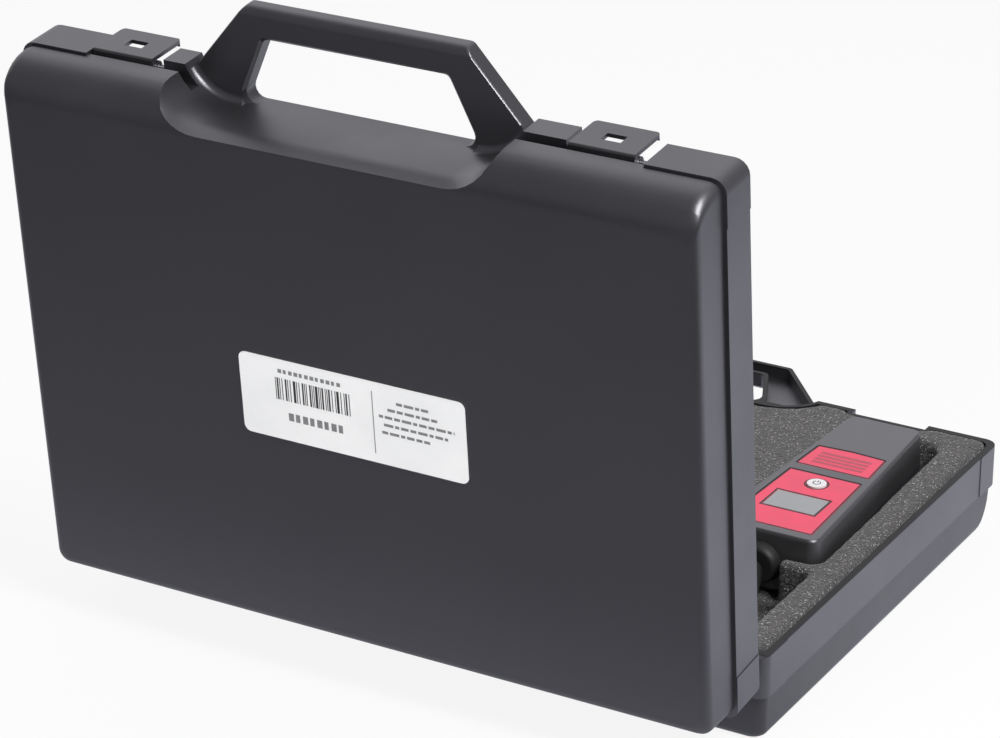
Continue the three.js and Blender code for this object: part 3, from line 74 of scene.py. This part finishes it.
class Nodes:
    """Short names for making and linking the nodes of one tree."""

    def __init__(self, tree):
        self.tree = tree

    def node(self, kind, **values):
        made = self.tree.nodes.new(kind)
        for key, value in values.items():
            if key in made.inputs:
                made.inputs[key].default_value = value
            else:
                setattr(made, key, value)
        return made

    def link(self, a, b):
        self.tree.links.new(a, b)

    def axes(self, vector):
        """The outputs X, Y and Z of a vector."""
        made = self.node("ShaderNodeSeparateXYZ")
        self.link(vector, made.inputs[0])
        return made.outputs

    def calc(self, operation, a, b):
        """A value joined by that operation with another value or a number."""
        made = self.node("ShaderNodeMath", operation=operation)
        self.link(a, made.inputs[0])
        if hasattr(b, "links"):
            self.link(b, made.inputs[1])
        else:
            made.inputs[1].default_value = b
        return made.outputs[0]

    def ramp(self, value, span, result=(0, 1), **settings):
        """value across its span becomes a number across the result."""
        made = self.node("ShaderNodeMapRange", **settings)
        made.inputs["From Min"].default_value, made.inputs["From Max"].default_value = span
        made.inputs["To Min"].default_value, made.inputs["To Max"].default_value = result
        self.link(value, made.inputs["Value"])
        return made.outputs["Result"]

    def mix(self, factor, a, b):
        """Two colours, each a socket or three numbers, by a factor that is a socket or a number."""
        made = self.node("ShaderNodeMix", data_type="RGBA")
        if hasattr(factor, "links"):
            self.link(factor, made.inputs[0])
        else:
            made.inputs[0].default_value = factor
        for socket, value in ((made.inputs[6], a), (made.inputs[7], b)):
            if hasattr(value, "links"):
                self.link(value, socket)
            else:
                socket.default_value = (*value, 1)
        return made.outputs[2]

    def mix_shader(self, factor, a, b):
        made = self.node("ShaderNodeMixShader")
        for socket, value in zip(made.inputs, (factor, a, b)):
            self.link(value, socket)
        return made.outputs[0]


class Shader(Nodes):
    """The nodes of one material."""

    def __init__(self, name, color, roughness, **settings):
        self.material = bpy.data.materials.new(name)
        self.material.use_nodes = True
        super().__init__(self.material.node_tree)
        self.bsdf = next(n for n in self.tree.nodes if n.type == "BSDF_PRINCIPLED")
        self.set("Base Color", (*color, 1))
        self.set("Roughness", roughness)
        for key, value in settings.items():
            self.set(key.replace("_", " "), value)
        self.material.diffuse_color = (*color, 1)

    def set(self, name, value):
        self.bsdf.inputs[name].default_value = value

    def place(self):
        """Object coordinates, which the pieces keep in metres."""
        coords = self.node("ShaderNodeTexCoord")
        mapping = self.node("ShaderNodeMapping")
        self.link(coords.outputs["Object"], mapping.inputs["Vector"])
        return mapping.outputs["Vector"]

    def noise(self, vector, scale, detail=2.0, rough=0.5):
        made = self.node("ShaderNodeTexNoise", Scale=scale, Detail=detail, Roughness=rough)
        self.link(vector, made.inputs["Vector"])
        return made.outputs["Fac"]

    def cells(self, vector, scale):
        made = self.node("ShaderNodeTexVoronoi", Scale=scale)
        self.link(vector, made.inputs["Vector"])
        return made.outputs["Distance"]

    def color(self, output):
        self.link(output, self.bsdf.inputs["Base Color"])

    def roughness(self, output):
        self.link(output, self.bsdf.inputs["Roughness"])

    def bump(self, height, strength, distance, after=None):
        made = self.node("ShaderNodeBump", Strength=strength, Distance=distance)
        self.link(height, made.inputs["Height"])
        if after is not None:
            self.link(after, made.inputs["Normal"])
        self.link(made.outputs["Normal"], self.bsdf.inputs["Normal"])
        return made.outputs["Normal"]


def lighter(color, factor, rise=0.0):
    return tuple(min(1, c * factor + rise) for c in color)


# The base's outer wall in metres of height, for the painted reflection and shade: where its body
# ends, and where its rim ends
WALL_FOOT = (0.0195, 0.0205)
WALL_TOP = (0.0378, 0.0384)
BODY_SHADE_GLOSS = 0.5
RIM_SHADE_GLOSS = 0.1
# painted reflection colour: the plastics' reflections are tinted blue-violet
PLASTIC_TINT = (0.94, 0.93, 1.0, 1)
PLASTIC_IOR = 1.75


def case_plastic(name, color, rough, grain=0.25, gloss=1.0, painted_band=False):
    """Grained plastic. With painted_band, reflections are painted by height: full on the wall under
    the base's rim, weaker on the body below as painted shade, and nearly none on the rim top as
    painted shade.
    """
    s = Shader(name, color, sum(rough) / 2)
    v = s.place()
    cloud = s.noise(v, scale=18, detail=4, rough=0.6)
    fine = s.noise(v, scale=900, detail=3, rough=0.6)
    s.color(s.mix(s.ramp(cloud, (0.35, 0.7)), color, lighter(color, 1.25)))
    s.roughness(s.ramp(cloud, (0.3, 0.7), rough))
    s.set("Specular IOR Level", gloss)
    s.set("Specular Tint", PLASTIC_TINT)
    s.set("IOR", PLASTIC_IOR)
    if painted_band:
        # painted reflection and painted shade: the specular level follows the height on the base's
        # wall
        height = s.axes(v)["Z"]
        wall = s.ramp(height, WALL_FOOT, (gloss * BODY_SHADE_GLOSS, gloss))
        rim = s.ramp(height, WALL_TOP, (1.0, RIM_SHADE_GLOSS))
        s.link(s.calc("MULTIPLY", wall, rim), s.bsdf.inputs["Specular IOR Level"])
    first = s.bump(s.cells(v, 1500.0), grain, 0.00006)
    s.bump(fine, grain * 0.8, 0.00005, first)
    return s.material


FOAM_DARK = (0.024, 0.0225, 0.022)
FOAM_LIGHT = (0.105, 0.1, 0.099)
FOAM_SHADE_DARK = (0.058, 0.0555, 0.0545)
FOAM_SHADE_LIGHT = (0.08, 0.077, 0.0755)
FOAM_SHADE_SHARE = 0.3
FOAM_FLECK = (0.62, 0.61, 0.6)


def foam_material():
    s = Shader("cut_foam", (0.1, 0.1, 0.1), 0.95)
    v = s.place()
    cells = s.cells(v, 1000.0)
    cloud = s.noise(v, scale=650, detail=3, rough=0.7)
    broad = s.noise(v, scale=60, detail=2, rough=0.5)
    base = s.mix(s.ramp(cloud, (0.3, 0.72)), FOAM_DARK, FOAM_LIGHT)
    shade = s.mix(s.ramp(broad, (0.35, 0.65), (0, 0.35)), FOAM_SHADE_DARK, FOAM_SHADE_LIGHT)
    body = s.mix(FOAM_SHADE_SHARE, base, shade)
    # few cells catch the light, so only the brightest tail of a fine noise turns pale
    spark = s.noise(v, scale=1350, detail=1, rough=0.5)
    flecks = s.mix(s.ramp(spark, (0.645, 0.71)), (0, 0, 0), (1, 1, 1))
    s.color(s.mix(flecks, body, FOAM_FLECK))
    s.set("Sheen Weight", 0.25)
    s.set("Sheen Roughness", 0.6)
    first = s.bump(cells, 0.9, 0.0005)
    s.bump(cloud, 0.7, 0.0007, first)
    return s.material


def paper_material():
    s = Shader("label_paper", (0.86, 0.865, 0.87), 0.5)
    v = s.place()
    tone = s.ramp(s.noise(v, scale=40, detail=3), (0.3, 0.7))
    s.color(s.mix(tone, (0.84, 0.845, 0.85), (0.9, 0.9, 0.905)))
    s.bump(s.noise(v, scale=1400), 0.1, 0.00003)
    return s.material


def foil_material(name, color, rough):
    s = Shader(name, color, rough)
    v = s.place()
    cloud = s.noise(v, scale=70)
    s.color(s.mix(s.ramp(cloud, (0.35, 0.65)), color, lighter(color, 1.12)))
    s.roughness(s.ramp(cloud, (0.3, 0.7), (rough * 0.85, rough * 1.15)))
    s.bump(s.noise(v, scale=2200), 0.08, 0.00002)
    return s.material


def rubber_material():
    s = Shader("boot_rubber", (0.016, 0.016, 0.017), 0.6)
    v = s.place()
    s.roughness(s.ramp(s.noise(v, scale=90, detail=3), (0.3, 0.7), (0.5, 0.7)))
    s.bump(s.noise(v, scale=1300), 0.25, 0.00004)
    return s.material


def metal_material(name, color, rough):
    s = Shader(name, color, rough, Metallic=1.0)
    v = s.place()
    s.roughness(s.ramp(s.noise(v, scale=300, detail=3), (0.3, 0.7), (rough * 0.8, rough * 1.3)))
    s.bump(s.noise(v, scale=900), 0.1, 0.00003)
    return s.material


def board_material():
    s = Shader("board_laminate", (0.02, 0.12, 0.05), 0.45)
    tone = s.ramp(s.noise(s.place(), scale=260, detail=3), (0.4, 0.6))
    s.color(s.mix(tone, (0.015, 0.1, 0.04), (0.03, 0.16, 0.07)))
    return s.material


def window_material(name, color, rough):
    s = Shader(name, color, rough, Coat_Weight=0.6)
    tone = s.ramp(s.noise(s.place(), scale=50), (0.3, 0.7))
    s.color(s.mix(tone, color, lighter(color, 1.08)))
    return s.material


def plain_print(name, color, rough=0.5):
    s = Shader(name, color, rough)
    tone = s.ramp(s.noise(s.place(), scale=500), (0.3, 0.7))
    s.color(s.mix(tone, color, lighter(color, 1.15, 0.004)))
    return s.material


CASE_BLACK = (0.013, 0.0128, 0.0148)
CASE = case_plastic("case_plastic", CASE_BLACK, (0.34, 0.44))
BASE = case_plastic("base_plastic", CASE_BLACK, (0.34, 0.44), painted_band=True)
LATCH = case_plastic("latch_plastic", (0.014, 0.0138, 0.015), (0.26, 0.36), 0.15, gloss=0.8)
TESTER = case_plastic("tester_plastic", (0.03, 0.03, 0.031), (0.34, 0.44), 0.3)
# painted shade: a darker, rougher copy of the tester plastic for the lower shell, its battery cover
# and the sensor head
TESTER_SHADED = case_plastic("tester_painted_shade", (0.02, 0.02, 0.022), (0.42, 0.52), 0.3)
FOAM = foam_material()
PAPER = paper_material()
RED = foil_material("red_foil", (0.88, 0.05, 0.125), 0.32)
DISPLAY = window_material("display", (0.3, 0.31, 0.32), 0.22)
BUTTON = case_plastic("button_plastic", (0.78, 0.77, 0.78), (0.4, 0.5), 0.1)
RUBBER = rubber_material()
STEEL = metal_material("steel", (0.55, 0.55, 0.56), 0.3)
BOARD = board_material()
CELL = plain_print("cell_wrap", (0.1, 0.17, 0.4), 0.35)
LENS = window_material("lens", (0.16, 0.02, 0.03), 0.1)
PRINT_GREY = plain_print("print_grey", (0.2, 0.2, 0.205))
PRINT_BLACK = plain_print("print_black", (0.02, 0.02, 0.022))
PRINT_DULL = plain_print("print_dull", (0.5, 0.07, 0.11), 0.45)

MADE_OF = (
    (BASE, ["base_shell"]),
    (CASE, ["lid_shell"]),
    (LATCH, ["latch_left", "latch_right"]),
    (FOAM, ["base_foam", "lid_foam"]),
    (PAPER, ["case_label"]),
    (TESTER, ["tester_front_housing"]),
    (TESTER_SHADED, ["tester_rear_housing", "battery_cover", "sensor_head"]),
    (RED, ["upper_panel", "lower_panel"]),
    (DISPLAY, ["lcd_window"]),
    (BUTTON, ["power_button"]),
    (RUBBER, ["power_switch", "neck_boot", "probe_neck"]),
    (BOARD, ["lcd_module", "circuit_board"]),
    (CELL, ["battery_left", "battery_right"]),
    (LENS, ["sensor_lens"]),
    (STEEL, ["hinge_pin_left", "hinge_pin_right", "latch_pin_left", "latch_pin_right",
             "battery_contact_near", "battery_contact_far", "battery_cover_screw",
             "housing_screw_1", "housing_screw_2", "housing_screw_3", "housing_screw_4"]),
)
PAINT = {name: material for material, names in MADE_OF for name in names}


def paint(obj, material):
    if obj.material_slots:
        for slot in obj.material_slots:
            slot.material = material
    else:
        obj.data.materials.append(material)


# Smooth faces with sharp edges

WELD_REACH = 0.000004
FLAT_ANGLE = math.radians(0.4)
ROUND_ANGLE = math.radians(36)
SHARP_ANGLE = math.radians(31)


def smooth_group(angle):
    """A modifier's node group that shades a mesh smooth but for edges sharper than angle."""
    name = f"smooth_{round(math.degrees(angle))}"
    group = bpy.data.node_groups.new(name, "GeometryNodeTree")
    for way in ("INPUT", "OUTPUT"):
        group.interface.new_socket("Geometry", in_out=way, socket_type="NodeSocketGeometry")
    nodes, link = group.nodes, group.links.new
    start = nodes.new("NodeGroupInput")
    end = nodes.new("NodeGroupOutput")
    faces = nodes.new("GeometryNodeSetShadeSmooth")
    edges = nodes.new("GeometryNodeSetShadeSmooth")
    edges.domain = "EDGE"
    edges.inputs["Shade Smooth"].default_value = False
    turn = nodes.new("GeometryNodeInputMeshEdgeAngle")
    sharp = nodes.new("FunctionNodeCompare")
    sharp.data_type = "FLOAT"
    sharp.operation = "GREATER_THAN"
    sharp.inputs["B"].default_value = angle
    link(turn.outputs["Unsigned Angle"], sharp.inputs["A"])
    link(start.outputs[0], faces.inputs["Geometry"])
    link(faces.outputs[0], edges.inputs["Geometry"])
    link(sharp.outputs[0], edges.inputs["Selection"])
    link(edges.outputs[0], end.inputs[0])
    return group


SMOOTH = smooth_group(SHARP_ANGLE)


def weld_corners(obj):
    obj.modifiers.new("weld", "WELD").merge_threshold = WELD_REACH


def soften(obj, width, split):
    """Joins the CAD facets' corners, rounds sharp edges by width and shades the rest smooth."""
    weld_corners(obj)
    flat = obj.modifiers.new("flat", "DECIMATE")
    flat.decimate_type = "DISSOLVE"
    flat.angle_limit = FLAT_ANGLE
    if split:
        # faces with many corners fold over where the rounding presses their corners together
        obj.modifiers.new("split", "TRIANGULATE")
    if width:
        edge = obj.modifiers.new("round", "BEVEL")
        edge.width = width
        edge.segments = 2
        edge.limit_method = "ANGLE"
        edge.angle_limit = ROUND_ANGLE
        edge.use_clamp_overlap = True
        edge.miter_outer = "MITER_ARC"
    obj.modifiers.new("shade", "NODES").node_group = SMOOTH
    obj.modifiers.new("flatten", "WEIGHTED_NORMAL").keep_sharp = True


# The two shells have their rounded edges in the CAD, and the other pieces are too small for one
EDGE = 0.0003
ROUNDED = ("latch_left", "latch_right", "tester_front_housing", "tester_rear_housing",
           "power_button", "sensor_head")
SPLIT = ("latch_left", "tester_rear_housing", "sensor_head")
for name, obj in NODES.items():
    paint(obj, PAINT[name])
    soften(obj, EDGE if name in ROUNDED else 0.0, name in SPLIT)


# Foam pads

# The waves of the cut skin, each a size and a height in metres
COARSE_WAVE = (0.004, 0.0005)
FINE_WAVE = (0.0012, 0.0004)
WAVE_LEVEL = 0.62


def foam_piece(node, name, body, voxel, waves):
    """The cut foam as a fine mesh: soft edges and a slightly uneven skin, inside its CAD solid."""
    mesh = NODES[node].data.copy()
    mesh.name = name
    piece = add(name, mesh)
    weld_corners(piece)
    remesh = piece.modifiers.new("remesh", "REMESH")
    remesh.mode = "VOXEL"
    remesh.voxel_size = voxel
    remesh.use_smooth_shade = True
    ease = piece.modifiers.new("ease", "SMOOTH")
    ease.factor = 0.5
    ease.iterations = 3
    for size, height in waves:
        texture = bpy.data.textures.new(f"{name}_{round(size * 1e4)}", "CLOUDS")
        texture.noise_scale = size
        texture.noise_depth = 2
        wave = piece.modifiers.new("wave", "DISPLACE")
        wave.texture = texture
        wave.texture_coords = "LOCAL"
        wave.strength = height
        wave.mid_level = WAVE_LEVEL
    shaped = piece.evaluated_get(bpy.context.evaluated_depsgraph_get())
    made = bpy.data.meshes.new_from_object(shaped)
    piece.modifiers.clear()
    piece.data = made
    bpy.data.meshes.remove(mesh)
    made.name = name
    paint(piece, FOAM)
    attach(piece, body)
    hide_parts(node)


foam_piece("base_foam", "base_foam_insert", "base", 0.0016, [COARSE_WAVE, FINE_WAVE])
foam_piece("lid_foam", "lid_foam_pad", "lid", 0.003, [COARSE_WAVE])


# Small print

INK = 0.00003


def decal(name, faces, place, body, material):
    """Flat printed shapes: an outline and a hole or none, in a plane that place sets in space."""
    bm = bmesh.new()
    for loops in faces:
        rings = [[bm.verts.new(place(a, b)) for a, b in loop] for loop in loops]
        if len(rings) == 1:
            bm.faces.new(rings[0])
            continue
        outer, inner = rings
        for i in range(len(outer)):
            j = (i + 1) % len(outer)
            bm.faces.new((outer[i], outer[j], inner[j], inner[i]))
    mesh = bpy.data.meshes.new(name)
    bm.to_mesh(mesh)
    bm.free()
    piece = add(name, mesh)
    thick = piece.modifiers.new("thick", "SOLIDIFY")
    thick.thickness = INK
    thick.offset = 0
    paint(piece, material)
    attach(piece, body)


def block(a0, a1, b0, b1):
    return [[(a0, b0), (a1, b0), (a1, b1), (a0, b1)]]


def row(count, first, pitch, widths, b0, b1):
    """Blocks in a row, whose widths repeat."""
    starts = [first + k * pitch for k in range(count)]
    return [block(a, a + widths[k % len(widths)], b0, b1) for k, a in enumerate(starts)]


def ring(b, inner, outer, steps, start=0.0, sweep=2 * math.pi):
    """A ring round the point (0, b), or an open arc of one, as quads."""
    angles = [start + sweep * k / steps for k in range(steps + 1)]

    def at(radius, angle):
        return (radius * math.cos(angle), b + radius * math.sin(angle))

    return [[[at(inner, t0), at(outer, t0), at(outer, t1), at(inner, t1)]]
            for t0, t1 in zip(angles, angles[1:])]


def frame_line(points, width):
    """A closed line of that width inside a convex outline given anticlockwise."""
    inner = []
    count = len(points)
    for i in range(count):
        p, q, r = (Vector(points[(i + d) % count]) for d in (-1, 0, 1))
        n1 = Vector((-(q - p).y, (q - p).x)).normalized()
        n2 = Vector((-(r - q).y, (r - q).x)).normalized()
        n = (n1 + n2).normalized()
        inner.append(tuple(q + n * (width / max(0.3, n.dot(n1)))))
    return [points, inner]


def on_label(a, b):
    """A point of the label, from its left end and its edge near the hinge, in millimetres."""
    x = LABEL_OFFSET - LABEL_HALF + a
    v = LABEL_FROM_HINGE + b
    w = LID_DEPTH + LABEL_GAP + LABEL_THICKNESS + PRINT_LIFT
    y0 = v - HINGE_IN
    z0 = w + HINGE_DROP + PARTING_GAP
    y = y0 * math.cos(OPEN_ANGLE) - z0 * math.sin(OPEN_ANGLE)
    z = y0 * math.sin(OPEN_ANGLE) + z0 * math.cos(OPEN_ANGLE)
    return Vector((x, y - CASE_WIDTH / 2 + HINGE_IN, z + BASE_DEPTH - HINGE_DROP)) * MM


def on_foil(a, b):
    """A point of the foils, from the tester's middle line and the case's hinge side."""
    return Vector((TESTER_X + a, b - CASE_WIDTH / 2, FOIL_TOP + PRINT_LIFT)) * MM


def on_button(a, b):
    return Vector((TESTER_X + a, BUTTON_Y + b - CASE_WIDTH / 2, BUTTON_TOP + PRINT_LIFT)) * MM


BAR_COUNT = 30
BAR_WIDTHS = (0.35, 0.7, 0.35, 1.05, 0.35, 0.7)
BAR_GAPS = (0.4, 0.75, 0.4, 0.4, 1.1)
BARS_FROM = 16.0
BARS_ACROSS = (17.5, 27)
bars = []
at = BARS_FROM
for k in range(BAR_COUNT):
    thick = BAR_WIDTHS[(k * 7 + k // 3) % len(BAR_WIDTHS)]
    gap = BAR_GAPS[(k * 3 + k // 4) % len(BAR_GAPS)]
    bars.append(block(at, at + thick, *BARS_ACROSS))
    at += thick + gap
decal("label_bars", bars, on_label, "lid", PRINT_BLACK)
small_row = row(12, 17.5, 2.4, (1.7, 1.3, 1.6), 29.2, 30.9)
large_row = row(8, 21, 3.2, (2.3, 1.9), 9.0, 12.4)
decal("label_strokes", small_row + large_row, on_label, "lid", PRINT_GREY)

# Dashed lines that read as nothing, right of a thin rule
RULE = block(59.2, 59.6, 4, 31)
LINE_SPANS = ((63, 84), (64, 92), (62, 95), (66, 88), (70, 84))
LINES_FROM = 13.5
LINE_PITCH = 3.4
LINE_HEIGHT = 1.2
DASHES = (2.6, 4.1, 1.8, 3.3)
DASH_GAP = 0.8
lines = [RULE]
for k, (at, end) in enumerate(LINE_SPANS):
    low = LINES_FROM + k * LINE_PITCH
    n = k
    while at < end:
        dash = DASHES[n % len(DASHES)]
        lines.append(block(at, min(at + dash, end), low, low + LINE_HEIGHT))
        at += dash + DASH_GAP
        n += 1
decal("label_lines", lines, on_label, "lid", PRINT_GREY)

UPPER_FOIL = [(-17, 146.3), (17, 146.3), (15.8, 166.6), (0, 167.6), (-15.8, 166.6)]
LOWER_FOIL = [(-18.9, 87.4), (18.9, 87.4), (16.6, 140.9), (-16.6, 140.9)]
DISPLAY_EDGE = [(-12.6, 103.4), (12.6, 103.4), (12.6, 120.4), (-12.6, 120.4)]
RULES = [block(-11.5, 11.5, 150.4 + k * 3.1, 152.3 + k * 3.1) for k in range(4)]
FOIL_MARGIN = 0.45
FOIL_LINE = 0.5
DISPLAY_LINE = 0.75
margins = [frame_line(foil, FOIL_MARGIN)[1] for foil in (UPPER_FOIL, LOWER_FOIL)]
outlines = [frame_line(margin, FOIL_LINE) for margin in margins]
decal("foil_outlines", outlines, on_foil, "tester", PRINT_BLACK)
display_frame = [frame_line(DISPLAY_EDGE, DISPLAY_LINE)]
decal("display_frame", display_frame, on_foil, "tester", PRINT_BLACK)
decal("upper_print", RULES, on_foil, "tester", PRINT_DULL)
button_ring = ring(BUTTON_Y, 4.7, 5.3, 40)
decal("button_ring", button_ring, on_foil, "tester", PRINT_BLACK)

# The sign for power: an open ring and a stroke
sign = ring(0, 1.35, 1.75, 28, math.radians(125), math.radians(290))
sign.append(block(-0.2, 0.2, 0.5, 2.1))
decal("button_sign", sign, on_button, "button", PRINT_BLACK)

# Floor and light

FLOOR_HALF = 12
FLOOR_DROP = 0.0003
WHITE = (1, 1, 1)

corners = [(-FLOOR_HALF, -FLOOR_HALF, 0), (FLOOR_HALF, -FLOOR_HALF, 0),
           (FLOOR_HALF, FLOOR_HALF, 0), (-FLOOR_HALF, FLOOR_HALF, 0)]
floor_mesh = bpy.data.meshes.new("floor")
floor_mesh.from_pydata(corners, [], [(0, 1, 2, 3)])
floor = add("floor", floor_mesh)
floor.location = (0, 0, -FLOOR_DROP)
s = Shader("floor_white", (0.9, 0.9, 0.9), 0.9)
s.set("Specular IOR Level", 0.0)
floor_mesh.materials.append(s.material)

# The camera sees the floor nearly white with a faint shadow left. For shiny faces the floor is a
# glow, a painted reflection:
# white close to the case, and dimmer farther out and in front of the case.
CAMERA_LIFT = 0.88
REFLECTION_GLOW_COLOR = (0.89, 0.91, 1.0)
path = s.node("ShaderNodeLightPath")
to_camera = path.outputs["Is Camera Ray"]
seen = s.calc("MAXIMUM", s.calc("MULTIPLY", to_camera, CAMERA_LIFT), path.outputs["Is Glossy Ray"])
spot = s.place()
away = s.node("ShaderNodeVectorMath", operation="LENGTH")
s.link(spot, away.inputs[0])
# painted reflection: the glow that glossy rays see fades with distance from the case and towards
# its front
far = s.ramp(away.outputs["Value"], (0.4, 0.8), (1.0, 0.45))
near = s.ramp(s.axes(spot)["Y"], (-0.24, -0.02), (0.26, 1.0))
glow = s.node("ShaderNodeEmission")
level = s.calc("MAXIMUM", to_camera, s.calc("MULTIPLY", far, near))
s.link(level, glow.inputs["Strength"])
s.link(s.mix(to_camera, REFLECTION_GLOW_COLOR, WHITE), glow.inputs["Color"])
surface = next(n for n in s.tree.nodes if n.type == "OUTPUT_MATERIAL")
s.link(s.mix_shader(seen, s.bsdf.outputs[0], glow.outputs[0]), surface.inputs["Surface"])

# A white wall stands behind the object, and the room in front of it and to its right is dimmer
ROOM_COLOR = (0.98, 0.97, 1.0)
world = bpy.data.worlds.new("studio")
bpy.context.scene.world = world
world.use_nodes = True
world.node_tree.nodes.clear()
w = Nodes(world.node_tree)
room = w.node("ShaderNodeBackground", Color=(*ROOM_COLOR, 1))
white = w.node("ShaderNodeBackground", Color=(*WHITE, 1), Strength=1.0)
toward = w.axes(w.node("ShaderNodeTexCoord").outputs["Generated"])
fade = w.ramp(toward["Y"], (-0.15, 0.55), (0.19, 0.93), interpolation_type="SMOOTHSTEP")
side = w.ramp(toward["X"], (-0.15, 0.45), (1.0, 0.35), interpolation_type="SMOOTHSTEP")
w.link(w.calc("MULTIPLY", fade, side), room.inputs["Strength"])
to_camera = w.node("ShaderNodeLightPath").outputs["Is Camera Ray"]
pick = w.mix_shader(to_camera, room.outputs[0], white.outputs[0])
w.link(pick, w.node("ShaderNodeOutputWorld").inputs[0])


def lamp(name, location, target, size, power):
    data = bpy.data.lights.new(name, "AREA")
    data.shape = "RECTANGLE"
    data.size, data.size_y = size
    data.energy = power
    obj = add(name, data)
    obj.location = location
    aim = Vector(target) - Vector(location)
    obj.rotation_euler = aim.to_track_quat("-Z", "Y").to_euler()
    return obj


KEY_POWER = 28
FRONT_POWER = 22
lamp("key", (1.15, -0.55, 1.5), (0.1, 0, 0.05), (0.7, 0.7), KEY_POWER)
# the front lamp lights the label and the panel, and leaves no streak on the rounded edges
front = lamp("front", (-0.2, -2.4, 0.9), (0, 0, 0.15), (1.6, 0.8), FRONT_POWER)
front.visible_glossy = False

# Camera, fitted to the corners and edges of the case in the photo

LENS_MM = 136.48
SENSOR_MM = 36
SHIFT_UP = -0.0058
EYE = (0.6958, -1.2711, 0.7224)
EYE_RIGHT = (0.86821, 0.49620, 0.00108)
EYE_UP = (-0.20062, 0.34904, 0.91538)
EYE_BACK = (0.45383, -0.79496, 0.40259)
camera = bpy.data.cameras.new("camera")
camera.lens = LENS_MM
camera.sensor_width = SENSOR_MM
camera.shift_y = SHIFT_UP
camera.clip_start = 0.05
camera.clip_end = 50
eye = add("camera", camera)
turn = Matrix((EYE_RIGHT, EYE_UP, EYE_BACK)).transposed().to_4x4()
eye.matrix_world = Matrix.Translation(Vector(EYE)) @ turn
bpy.context.scene.camera = eye

view = bpy.context.scene.view_settings
view.view_transform = "Standard"
